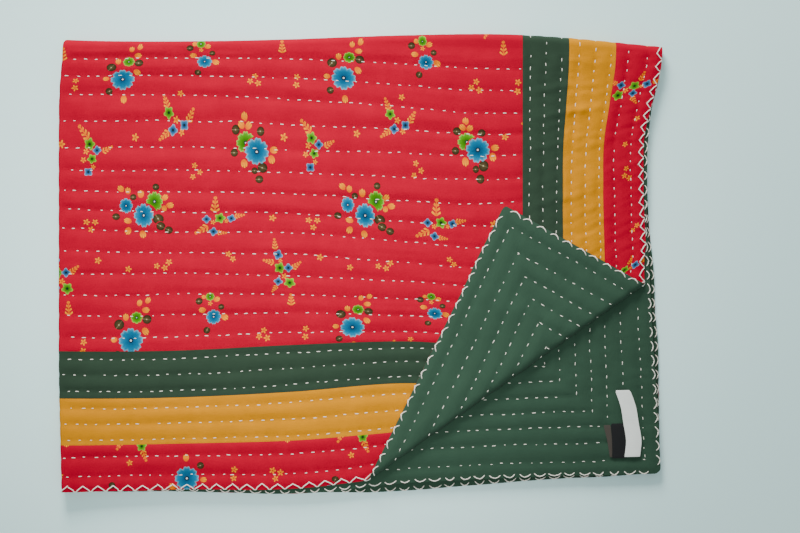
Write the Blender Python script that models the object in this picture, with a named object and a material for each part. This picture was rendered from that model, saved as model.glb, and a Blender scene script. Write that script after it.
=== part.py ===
"""A quilted throw folded in quarters, with one corner of its top layer turned back.

Metres, +Z up. The pile lies on the floor at z = 0, its folded edges at -X and +Y, its cut edges at +X and -Y.
Every piece is modelled flat, as it is cut: u runs along the quilt, v across it, and n is the height over the
middle of its thickness, towards the pieced front. folded() then gives the place of each flat point in the pile.
"""

import math
from collections import namedtuple

import bmesh
import bpy
import numpy as np
from mathutils import Vector

# The quilt laid out flat
LENGTH = 1.70
WIDTH = 1.27
BAND = 0.0655
GAP = 0.0003
SEAM = 0.0005
FIELD_ROW = 0.030
BORDER_ROWS = (0.021, 0.048, 0.072, 0.0945, 0.117, 0.141, 0.1635, 0.185)
HALF_LENGTH = LENGTH / 2
HALF_WIDTH = WIDTH / 2
BORDER = 3 * BAND

# Half of the quilt's thickness: between rows of stitching, along a row and at the cut edge
PUFF = 0.0018
ROW = 0.00115
EDGE = 0.00115

# The pile: half the pitch of two layers, and how much more it is at the two folds
HALF_PITCH = 0.0020
END_FOLD_PUFF = 0.0014
SIDE_FOLD_PUFF = 0.0014
PUFF_REACH = 0.060
END_FOLD_RADIUS = HALF_PITCH + END_FOLD_PUFF
SIDE_FOLD_RADIUS = HALF_PITCH + SIDE_FOLD_PUFF
QUARTER = math.pi / 2

# The turned-back corner: how much of the two edges is turned, the roll at its crease, and where the crease and
# the corner lie, to the right of the end fold and below the side fold
TURNED_ALONG = 0.435
TURNED_ACROSS = 0.235
ROLL = 0.0045
CREASE_START = (0.418, 0.613)
CREASE_END = (0.8204, 0.328)
CORNER_AT = (0.6217, 0.2232)
SETTLE = 0.035
EASE = 0.050

# Lines of the flat grids, to both sides of the end fold and of the side fold, and cuts along the crease
COLLECTION = "folded_quilt"
END_FOLD_LINES = (QUARTER * END_FOLD_RADIUS / 2, QUARTER * END_FOLD_RADIUS)
SIDE_FOLD_LINES = (0.0036, 0.0072, 0.0108)
ACROSS_LINES = (
    *(-0.625, -0.485, -0.170, -0.045, -END_FOLD_LINES[1], -END_FOLD_LINES[0], 0.0, *END_FOLD_LINES),
    *(0.030, 0.075, 0.170, 0.330, 0.485, 0.625),
)
DOWN_LINES = (
    *(-0.405, -0.330, -0.270, -0.210, -0.150, -0.090, -0.030),
    *(-line for line in reversed(SIDE_FOLD_LINES)),
    *(0.0, *SIDE_FOLD_LINES, 0.050, 0.200),
)
ROLL_ANGLES = np.linspace(0, math.pi, 7)
ROLL_CUTS = ROLL_ANGLES * ROLL
SETTLE_CUTS = np.array((0.0, 0.8, 1.8)) * SETTLE
CREASE_CUTS = (-EASE, -EASE / 2, *ROLL_CUTS, *(ROLL_CUTS[-1] + SETTLE_CUTS[1:]))

# The middle of the pile's outline, to the right of the end fold and below the side fold
PILE_CENTRE = (0.4197, 0.3058)

# How the cloth lies off square. "across" is the distance from the end fold on the flat, shift is how far the side
# fold lies from the quilt's middle line, and the rest are how far each layer's cut edge lies below its square place.
Column = namedtuple("Column", "across shift second third fourth")
COLUMNS = (
    Column(0.0, 0.0, 0.0, -0.001, 0.001),
    Column(0.170, 0.0, 0.001, -0.001, 0.002),
    Column(0.330, 0.003, 0.001, -0.002, 0.007),
    Column(0.485, 0.012, -0.022, -0.025, 0.013),
    Column(0.625, 0.020, -0.038, -0.041, 0.010),
    Column(HALF_LENGTH, 0.0, -0.024, -0.027, -0.024),
)

# "down" is the distance from the side fold on the flat. sags has a value for each of COLUMNS, how far the top layer
# lies below its square place there. left, first, second, third and fourth move the end fold and the cut ends to +X.
Course = namedtuple("Course", "down sags left first second third fourth")
COURSES = (
    Course(0.0, (0.001, 0.0, -0.003, -0.008, -0.010, 0.008), 0.006, 0.001, 0.001, 0.001, 0.001),
    Course(0.030, (-0.001, -0.006, -0.008, -0.010, -0.010, 0.004), 0.004, -0.001, -0.001, 0.0, 0.0),
    Course(0.090, (-0.013, -0.014, -0.011, -0.009, -0.007, -0.007), 0.0, -0.013, -0.014, -0.013, -0.014),
    Course(0.150, (0.003, 0.0, 0.001, -0.004, -0.009, -0.019), -0.001, -0.024, -0.019, -0.021, -0.019),
    Course(0.210, (0.002, 0.003, 0.003, 0.003, -0.001, -0.030), -0.001, -0.026, -0.020, -0.022, -0.019),
    Course(0.270, (-0.005, 0.0, -0.002, 0.001, 0.002, -0.041), -0.001, -0.025, -0.020, -0.022, -0.016),
    Course(0.330, (0.0, -0.002, -0.001, -0.003, -0.006, -0.052), -0.001, -0.023, -0.017, -0.019, -0.010),
    Course(0.405, (0.0, -0.003, -0.012, -0.018, -0.023, -0.064), -0.001, -0.021, -0.013, -0.015, -0.006),
    Course(0.4385, (0.001, -0.002, -0.013, -0.027, -0.031, -0.067), -0.001, -0.021, -0.011, -0.013, -0.004),
    Course(HALF_WIDTH, (0.003, -0.002, -0.006, -0.025, -0.033, -0.067), 0.003, -0.021, -0.001, -0.003, -0.001),
)
ACROSS = np.array([column.across for column in COLUMNS])
DOWN = np.array([course.down for course in COURSES])
SAGS = np.array([course.sags for course in COURSES])

# The labels, by their distance from the second layer's two cut edges
LABEL_THICK = 0.0010
CARE_WIDTH = 0.022
LabelPoint = namedtuple("LabelPoint", "up middle")
CARE_LABEL = (
    LabelPoint(0.0225, 0.0415),
    LabelPoint(0.051, 0.0385),
    LabelPoint(0.076, 0.0420),
    LabelPoint(0.103, 0.0470),
    LabelPoint(0.126, 0.0525),
)
DARK_WIDTH = 0.0165
DARK_LABEL = (LabelPoint(0.0205, 0.0620), LabelPoint(0.0460, 0.0615), LabelPoint(0.0710, 0.0625))

# Colours from the photograph, linear
GREEN = (0.035, 0.080, 0.052)
GOLD = (0.630, 0.325, 0.028)
RED = (0.610, 0.018, 0.038)
WHITE = (0.820, 0.820, 0.800)
BLACK = (0.012, 0.012, 0.013)


def between(table, a, b):
    """The value of a table with a row for each of COURSES and a column for each of COLUMNS, at a and b."""
    i = np.clip(np.searchsorted(ACROSS, a, side="right") - 1, 0, len(ACROSS) - 2)
    j = np.clip(np.searchsorted(DOWN, b, side="right") - 1, 0, len(DOWN) - 2)
    s = np.clip((a - ACROSS[i]) / (ACROSS[i + 1] - ACROSS[i]), 0, 1)
    t = np.clip((b - DOWN[j]) / (DOWN[j + 1] - DOWN[j]), 0, 1)
    upper = table[j, i] * (1 - s) + table[j, i + 1] * s
    lower = table[j + 1, i] * (1 - s) + table[j + 1, i + 1] * s
    return upper * (1 - t) + lower * t


def column(name, a):
    """A value of COLUMNS at the distance a from the end fold."""
    return np.interp(a, ACROSS, [getattr(row, name) for row in COLUMNS])


def course(name, b):
    """A value of COURSES at the distance b from the side fold."""
    return np.interp(b, DOWN, [getattr(row, name) for row in COURSES])


def half_thickness(u, v):
    """Half of the quilt's thickness: full between rows of stitching, drawn in along them, even in the lower half."""
    depth = np.minimum(HALF_LENGTH - np.abs(u), HALF_WIDTH - np.abs(v))
    places, halves = [0.0, BORDER_ROWS[0] / 2], [EDGE, PUFF]
    for row, following in zip(BORDER_ROWS, BORDER_ROWS[1:] + (BORDER + FIELD_ROW / 2,)):
        places += [row, (row + following) / 2]
        halves += [ROW, PUFF]
    border = np.interp(depth, places, halves)
    along = np.abs(np.abs(v) / FIELD_ROW - np.round(np.abs(v) / FIELD_ROW)) * 2
    field = ROW + (PUFF - ROW) * along
    stitched = np.where(depth < BORDER, border, field)
    return np.where(v > 0, PUFF, stitched)


def crease_frame():
    """The crease on the flat and in the pile: their starts and directions, and the way the corner is turned."""
    flat_start = np.array([HALF_LENGTH - TURNED_ALONG, HALF_WIDTH])
    flat_end = np.array([HALF_LENGTH, HALF_WIDTH - TURNED_ACROSS])
    length = np.linalg.norm(flat_end - flat_start)
    along = (flat_end - flat_start) / length
    outward = np.array([-along[1], along[0]])
    start, end = np.array(CREASE_START), np.array(CREASE_END)
    run = (end - start) / length
    side = np.array([-run[1], run[0]]) / np.linalg.norm(run)
    corner = np.array([HALF_LENGTH, HALF_WIDTH]) - flat_start
    foot = start + run * (corner @ along)
    turned = (np.array(CORNER_AT) - foot) / (corner @ outward - math.pi * ROLL)
    return flat_start, along, outward, start, run, side, turned


def folded(u, v, n):
    """Where a point of the flat quilt lies in the pile, as an array of x, y and z."""
    a = np.abs(u)
    from_fold = v - column("shift", a)
    b = np.abs(from_fold)

    # The end fold, at the left, then the side fold, at the top
    around_end = np.sign(u) * np.clip(a / END_FOLD_RADIUS, 0, QUARTER)
    right = np.maximum(a - QUARTER * END_FOLD_RADIUS, 0)
    end_half = HALF_PITCH + END_FOLD_PUFF * np.exp(-right / PUFF_REACH)
    radius = end_half + SIDE_FOLD_RADIUS
    around_side = -np.sign(from_fold) * np.clip(b / radius, 0, QUARTER)
    below = np.maximum(b - QUARTER * radius, 0)
    side_half = HALF_PITCH + SIDE_FOLD_PUFF * np.exp(-below / PUFF_REACH)
    reach = end_half + side_half + (end_half + n) * np.sin(around_end)
    middle = PUFF + 2 * end_half + side_half
    x = right - (end_half + n) * np.cos(around_end)
    y = below - reach * np.cos(around_side)
    z = middle + reach * np.sin(around_side)

    # The layers off square
    upper = (1 + np.sin(around_side)) / 2
    outer = (1 + np.sin(around_end)) / 2
    share = {
        "first": upper * outer,
        "second": upper * (1 - outer),
        "third": (1 - upper) * (1 - outer),
        "fourth": (1 - upper) * outer,
    }
    down = np.abs(v)
    at_end = np.clip((a - (HALF_LENGTH - BORDER)) / BORDER, 0, 1)
    at_fold = np.clip(1 - a / ACROSS[1], 0, 1)
    at_edge = down / HALF_WIDTH
    x = x + course("left", down) * at_fold
    top_sag = between(SAGS, a, np.zeros_like(a))
    fold_sag = between(SAGS, np.zeros_like(a), down)
    for layer, part in share.items():
        x = x + part * course(layer, down) * at_end
        if layer == "first":
            y = y + part * between(SAGS, a, down)
            continue
        sag = top_sag * (1 - at_edge) + column(layer, a) * at_edge
        if layer == "second":
            sag = sag + (fold_sag - sag) * at_fold
        y = y + part * sag

    # The turned-back corner of the top layer
    flat_start, along, outward, start, run, side, turned = crease_frame()
    top = (u > 0) & (v < 0)
    t = (a - flat_start[0]) * along[0] + (down - flat_start[1]) * along[1]
    s = np.where(top, (a - flat_start[0]) * outward[0] + (down - flat_start[1]) * outward[1], -1.0)
    eased = np.clip(1 + s / EASE, 0, 1)
    x = x * (1 - eased) + eased * (start[0] + t * run[0] + np.minimum(s, 0) * side[0])
    y = y * (1 - eased) + eased * (start[1] + t * run[1] + np.minimum(s, 0) * side[1])
    layer_height = middle + end_half + side_half + end_half
    sine, cosine = np.interp(s, ROLL_CUTS, np.sin(ROLL_ANGLES)), np.interp(s, ROLL_CUTS, np.cos(ROLL_ANGLES))
    past = np.maximum(s - ROLL_CUTS[-1], 0)
    settled = 2 * (ROLL - HALF_PITCH) * np.interp(past, SETTLE_CUTS, (1.0, 0.5, 0.0))
    rolled = s > 0
    over = s > ROLL_CUTS[-1]
    x = np.where(rolled, x + side[0] * (ROLL - n) * sine + turned[0] * past, x)
    y = np.where(rolled, y + side[1] * (ROLL - n) * sine + turned[1] * past, y)
    z = np.where(rolled, layer_height + ROLL - (ROLL - n) * cosine, z)
    z = np.where(over, layer_height + 2 * HALF_PITCH + settled - n, z)
    return np.stack([x - PILE_CENTRE[0], PILE_CENTRE[1] - y, z], axis=-1)


def flat_sheet(u_lines, v_lines):
    """An open flat grid with its lines at the given places, cut again along the crease, in triangles."""
    mesh = bmesh.new()
    wide, high = len(u_lines) - 1, len(v_lines) - 1
    bmesh.ops.create_grid(mesh, x_segments=wide, y_segments=high, size=0.5)
    for vert in mesh.verts:
        u = u_lines[round((vert.co.x + 0.5) * wide)]
        v = v_lines[round((vert.co.y + 0.5) * high)]
        if abs(v) <= SIDE_FOLD_LINES[-1]:
            v += column("shift", abs(u))
        vert.co = Vector((u, v, 0.0))
    flat_start, _, outward, *_ = crease_frame()
    for cut in CREASE_CUTS:
        point = flat_start + outward * cut
        bmesh.ops.bisect_plane(
            mesh,
            geom=mesh.verts[:] + mesh.edges[:] + mesh.faces[:],
            dist=1e-5,
            plane_co=(point[0], -point[1], 0.0),
            plane_no=(outward[0], -outward[1], 0.0),
        )
    bmesh.ops.triangulate(mesh, faces=mesh.faces[:], quad_method="FIXED")
    return mesh


def add_piece(name, mesh, span, material, parent):
    """A flat sheet made as thick as span says, from its lowest to its highest n at a place u, v, and folded."""
    flat = mesh.verts[:] + mesh.edges[:] + mesh.faces[:]
    thick = bmesh.ops.extrude_face_region(mesh, geom=flat, use_keep_orig=True)["geom"]
    raised = [item for item in thick if isinstance(item, bmesh.types.BMVert)]
    bmesh.ops.translate(mesh, verts=raised, vec=(0, 0, 1))
    bmesh.ops.recalc_face_normals(mesh, faces=mesh.faces[:])
    u, v, top = np.array([vert.co[:] for vert in mesh.verts]).T
    low, high = span(u, v)
    for vert, place in zip(mesh.verts, folded(u, v, np.where(top > 0, high, low))):
        vert.co = Vector(place)
    walls = [face for face in mesh.faces if len(face.verts) > 3]
    bmesh.ops.triangulate(mesh, faces=walls, quad_method="SHORT_EDGE")
    data = bpy.data.meshes.new(name)
    mesh.to_mesh(data)
    mesh.free()
    data.materials.append(material)
    piece = bpy.data.objects.new(name, data)
    piece.parent = parent
    bpy.data.collections[COLLECTION].objects.link(piece)


def cloth_material(name, colour, roughness=0.9):
    """A matt cloth of one colour."""
    material = bpy.data.materials.new(name)
    material.use_nodes = True
    shader = material.node_tree.nodes["Principled BSDF"]
    shader.inputs["Base Color"].default_value = (*colour, 1.0)
    shader.inputs["Roughness"].default_value = roughness
    shader.inputs["Metallic"].default_value = 0.0
    return material


def front_span(u, v):
    """The pieced front's lowest and highest n."""
    return np.full_like(u, GAP / 2), half_thickness(u, v)


def back_span(u, v):
    """The backing's lowest and highest n, with the filling that is quilted to it."""
    return -half_thickness(u, v), np.full_like(u, -GAP / 2)


def label_span(u, v):
    """A label's lowest and highest n: it lies on the reverse, GAP off the fullest places."""
    return np.full_like(u, -PUFF - GAP - LABEL_THICK), np.full_like(u, -PUFF - GAP)


def band_lines(ring):
    """Distances from the cut edge of a band's two sides, its rows of stitching and the places between them."""
    outer, inner = ring * BAND, (ring + 1) * BAND
    rows = [row for row in BORDER_ROWS if outer < row < inner]
    fulls = [(row + following) / 2 for row, following in zip(rows, rows[1:])]
    first = [BORDER_ROWS[0] / 2] if ring == 0 else []
    return sorted([outer + (SEAM / 2 if ring else 0)] + first + rows + fulls + [inner - SEAM / 2])


def add_band(ring, name, material, parent):
    """The four strips of one band: two long ones, and two between them at the ends of the quilt."""
    outer_u = HALF_LENGTH - ring * BAND - (SEAM / 2 if ring else 0)
    inner_v = HALF_WIDTH - (ring + 1) * BAND - SEAM / 2
    lines = band_lines(ring)
    seams = [HALF_LENGTH - seam * BAND for seam in range(3, ring, -1)]
    along = [-outer_u, *ACROSS_LINES, *seams, outer_u]
    upper = [line - HALF_WIDTH for line in lines]
    lower = [-upper[-1], -upper[0]]
    corner = [HALF_WIDTH - BORDER] if ring < 2 else []
    down = [-inner_v, *(-line for line in corner), *DOWN_LINES, *corner, inner_v]
    outer = [HALF_LENGTH - line for line in reversed(lines)]
    inner = [-outer[-1], -outer[0]]
    add_piece(name + "_long_upper", flat_sheet(along, upper), front_span, material, parent)
    add_piece(name + "_long_lower", flat_sheet(along, lower), front_span, material, parent)
    add_piece(name + "_end_outer", flat_sheet(outer, down), front_span, material, parent)
    add_piece(name + "_end_inner", flat_sheet(inner, down), front_span, material, parent)


def add_backing(material, parent):
    """The plain reverse, as large as the whole quilt."""
    border = sorted(line for ring in range(3) for line in band_lines(ring))
    border = [line for line, following in zip(border, border[1:] + [1.0]) if following - line > 2 * SEAM]
    ends = [HALF_LENGTH - line for line in reversed(border)]
    across = [-line for line in reversed(ends)] + [*ACROSS_LINES, *ends]
    down = [line - HALF_WIDTH for line in border] + [*DOWN_LINES, HALF_WIDTH - BORDER, HALF_WIDTH]
    add_piece("backing", flat_sheet(across, down), back_span, material, parent)


def add_centre(material, parent):
    """The printed middle panel, with a row of stitching every FIELD_ROW in its upper half."""
    half_u, half_v = HALF_LENGTH - BORDER - SEAM / 2, HALF_WIDTH - BORDER - SEAM / 2
    rows = [-FIELD_ROW / 2 * step for step in range(int(half_v / FIELD_ROW * 2), 1, -1)]
    near_fold = [line for line in DOWN_LINES if line > rows[-1]]
    sheet = flat_sheet([-half_u, *ACROSS_LINES, half_u], [-half_v, *rows, *near_fold, half_v])
    add_piece("centre_panel", sheet, front_span, material, parent)


def add_label(name, width, points, material, parent):
    """A label on the second layer's reverse, along points whose up and middle are measured from its cut edges."""
    sheet = flat_sheet([-width / 2, 0.0, width / 2], [point.up for point in points])
    for vert in sheet.verts:
        middle = np.interp(vert.co.y, [point.up for point in points], [point.middle for point in points])
        vert.co.x += middle - HALF_LENGTH
        vert.co.y -= HALF_WIDTH
    add_piece(name, sheet, label_span, material, parent)


def main():
    """The whole pile: the backing, the centre, three bands round it and the two labels."""
    for thing in list(bpy.data.objects):
        bpy.data.objects.remove(thing)
    collection = bpy.data.collections.new(COLLECTION)
    bpy.context.scene.collection.children.link(collection)
    pile = bpy.data.objects.new("folded_throw", None)
    collection.objects.link(pile)
    green = cloth_material("green cotton", GREEN)
    gold = cloth_material("gold cotton", GOLD)
    red = cloth_material("printed cotton", RED)
    add_backing(green, pile)
    add_centre(red, pile)
    add_band(2, "green_band", green, pile)
    add_band(1, "gold_band", gold, pile)
    add_band(0, "floral_band", red, pile)
    add_label("care_label", CARE_WIDTH, CARE_LABEL, cloth_material("white ribbon", WHITE, 0.6), pile)
    add_label("dark_label", DARK_WIDTH, DARK_LABEL, cloth_material("dark ribbon", BLACK, 0.5), pile)


main()
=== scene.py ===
"""The look of a hand-quilted cotton throw that lies folded in quarters, with one corner turned back.

Every cloth is worked out flat first: u runs along the quilt, v across it, and n is the height over the
middle of its thickness, towards the pieced front. FoldedCloth.place() then gives each flat point its place
in the pile.
"""

import logging
import math
from dataclasses import dataclass, field
from enum import Enum, IntEnum
from itertools import product
from typing import Callable, Iterator, NamedTuple, Optional, Sequence

import bpy
import numpy as np
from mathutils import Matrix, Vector


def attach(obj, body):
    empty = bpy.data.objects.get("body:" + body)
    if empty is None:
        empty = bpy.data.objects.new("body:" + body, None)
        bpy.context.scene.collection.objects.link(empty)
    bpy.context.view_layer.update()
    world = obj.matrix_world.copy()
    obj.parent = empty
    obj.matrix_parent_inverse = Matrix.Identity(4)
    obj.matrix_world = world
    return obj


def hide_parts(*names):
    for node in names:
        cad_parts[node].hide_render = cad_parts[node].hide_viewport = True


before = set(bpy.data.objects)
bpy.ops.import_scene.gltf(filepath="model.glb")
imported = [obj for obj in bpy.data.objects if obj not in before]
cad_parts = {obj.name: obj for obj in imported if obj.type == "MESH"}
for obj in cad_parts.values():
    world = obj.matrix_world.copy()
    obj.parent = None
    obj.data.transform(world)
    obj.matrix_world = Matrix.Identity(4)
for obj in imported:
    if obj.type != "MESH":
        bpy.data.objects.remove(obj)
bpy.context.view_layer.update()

LOG = logging.getLogger("folded_throw")

# The quilt laid out flat, in metres
HALF_LENGTH = 0.85
HALF_WIDTH = 0.635
BAND = 0.0655
BORDER = 3 * BAND
FIELD_ROW = 0.030
BORDER_ROWS = (0.021, 0.048, 0.072, 0.0945, 0.117, 0.141, 0.1635, 0.185)
STITCH = 0.0146
ZIGZAG = 0.0212
QUARTER = math.pi / 2
MM = 0.001

# The rows of the middle count from 0 both ways, and those of the border from here inwards
FIRST_BORDER_ROW = 100

Numbers = np.ndarray


class Side(Enum):
    """The two faces of the quilt."""

    FRONT = 1
    REVERSE = -1


class Ring(IntEnum):
    """The parts of the pieced front, from the outermost band to the middle."""

    FLORAL = 0
    GOLD = 1
    GREEN = 2
    CENTRE = 3

    @property
    def cloth(self) -> str:
        """The name of its cloth."""
        return "centre_panel_cloth" if self is Ring.CENTRE else self.name.lower() + "_band_cloth"


class Kind(Enum):
    """The small drawings that the print is made of, in the order in which they are printed."""

    LEAF = "leaf"
    SPRIG = "sprig"
    BUD = "bud"
    STAR = "star"
    BLOSSOM = "blossom"
    BLOOM = "bloom"


class Tint(Enum):
    """The two colours of blooms and blossoms, as the height that a place gets where a stamp is found."""

    BLUE = 100.0
    GREEN = 200.0


class Column(NamedTuple):
    """The side fold's shift and the cut edges' sags, at a distance across from the pile's end fold."""

    across: float
    shift: float
    second: float
    third: float
    fourth: float


class Course(NamedTuple):
    """How the pile lies at a distance down from its side fold.

    It holds the top layer's sag at each column, the end fold's move to +X and each layer's, at its cut end.
    """

    down: float
    sags: tuple[float, ...]
    left: float
    first: float
    second: float
    third: float
    fourth: float


class Crease(NamedTuple):
    """A soft ridge, or a trough where height is below 0, from one place of the flat to another, in mm."""

    across: float
    down: float
    to_across: float
    to_down: float
    width: float
    height: float

    def ridge(self, across: Numbers, down: Numbers) -> Numbers:
        """Its height, which sways about its line and fades towards its ends.

        Args:
            across: Flat distances from the end fold, in metres.
            down: Flat distances from the side fold.

        Returns:
            The heights in metres.
        """
        start = np.array([self.across, self.down]) * MM
        run = np.array([self.to_across, self.to_down]) * MM - start
        length = np.linalg.norm(run)
        run = run / length
        width = self.width * MM
        t = ((across - start[0]) * run[0] + (down - start[1]) * run[1]) / length
        off = (across - start[0]) * run[1] - (down - start[1]) * run[0]
        off = off + CREASE_SWAY * width * np.sin(t * CREASE_TURNS)
        taper = eased(t / CREASE_FADE) * eased((1 - t) / CREASE_FADE)
        return self.height * MM * taper * np.exp(-((off / width) ** 2))


class Stamp(NamedTuple):
    """One drawing: its place from the motif's middle and its radius in mm, and its turn in degrees."""

    x: float
    y: float
    radius: float
    turn: float = 0.0
    tint: Tint = Tint.BLUE
    wide: float = 1.0


class Motif(NamedTuple):
    """A group of drawings round a place of the print's repeat, in mm."""

    x: float
    y: float
    stamps: dict[Kind, tuple[Stamp, ...]]


class Pin(NamedTuple):
    """A place of the print and the flat place that it lies at, in metres, where down is -v."""

    x: float
    y: float
    u: float
    down: float


COLUMNS = (
    Column(0.0, 0.0, 0.0, -0.001, 0.001),
    Column(0.170, 0.0, 0.001, -0.001, 0.002),
    Column(0.330, 0.003, 0.001, -0.002, 0.007),
    Column(0.485, 0.012, -0.022, -0.025, 0.013),
    Column(0.625, 0.020, -0.038, -0.041, 0.010),
    Column(HALF_LENGTH, 0.0, -0.024, -0.027, -0.024),
)
COURSES = (
    Course(0.0, (0.001, 0.0, -0.003, -0.008, -0.010, 0.008), 0.006, 0.001, 0.001, 0.001, 0.001),
    Course(0.030, (-0.001, -0.006, -0.008, -0.010, -0.010, 0.004), 0.004, -0.001, -0.001, 0.0, 0.0),
    Course(0.090, (-0.013, -0.014, -0.011, -0.009, -0.007, -0.007), 0.0, -0.013, -0.014, -0.013, -0.014),
    Course(0.150, (0.003, 0.0, 0.001, -0.004, -0.009, -0.019), -0.001, -0.024, -0.019, -0.021, -0.019),
    Course(0.210, (0.002, 0.003, 0.003, 0.003, -0.001, -0.030), -0.001, -0.026, -0.020, -0.022, -0.019),
    Course(0.270, (-0.005, 0.0, -0.002, 0.001, 0.002, -0.041), -0.001, -0.025, -0.020, -0.022, -0.016),
    Course(0.330, (0.0, -0.002, -0.001, -0.003, -0.006, -0.052), -0.001, -0.023, -0.017, -0.019, -0.010),
    Course(0.405, (0.0, -0.003, -0.012, -0.018, -0.023, -0.064), -0.001, -0.021, -0.013, -0.015, -0.006),
    Course(0.4385, (0.001, -0.002, -0.013, -0.027, -0.031, -0.067), -0.001, -0.021, -0.011, -0.013, -0.004),
    Course(
        HALF_WIDTH, (0.003, -0.002, -0.006, -0.025, -0.033, -0.067), 0.003, -0.021, -0.001, -0.003, -0.001,
    ),
)

# How far a soft crease sways and where it fades, then the creases of the top layer and of the turned corner
CREASE_SWAY = 0.25
CREASE_TURNS = 9
CREASE_FADE = 0.3
TOP_CREASES = (
    Crease(20, 46, 330, 52, 11, 1.5),
    Crease(120, 80, 420, 74, 7, 1.1),
    Crease(30, 108, 250, 112, 9, 1.4),
    Crease(380, 100, 640, 112, 8, 1.2),
    Crease(60, 168, 300, 174, 12, 1.3),
    Crease(330, 196, 600, 206, 9, 1.2),
    Crease(90, 226, 420, 232, 10, 1.1),
    Crease(20, 262, 200, 268, 8, 1.2),
    Crease(230, 290, 520, 300, 11, 1.4),
    Crease(60, 322, 330, 330, 9, 1.0),
    Crease(20, 382, 420, 388, 12, 1.3),
    Crease(40, 420, 470, 426, 7, 1.0),
    Crease(60, 520, 400, 530, 8, 1.1),
    Crease(60, 590, 300, 598, 10, 1.0),
    Crease(655, 60, 780, 52, 5, 1.3),
    Crease(655, 96, 784, 90, 5, 1.4),
    Crease(660, 140, 790, 150, 6, 1.0),
    Crease(655, 214, 770, 222, 6, 1.0),
)
CORNER_CREASES = (
    Crease(560, 560, 840, 470, 16, 2.0),
    Crease(700, 600, 780, 500, 10, 1.0),
    Crease(480, 620, 640, 560, 9, 1.2),
)
ACROSS = np.array([column.across for column in COLUMNS])
DOWN = np.array([course.down for course in COURSES])
SAGS = np.array([course.sags for course in COURSES])

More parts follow.
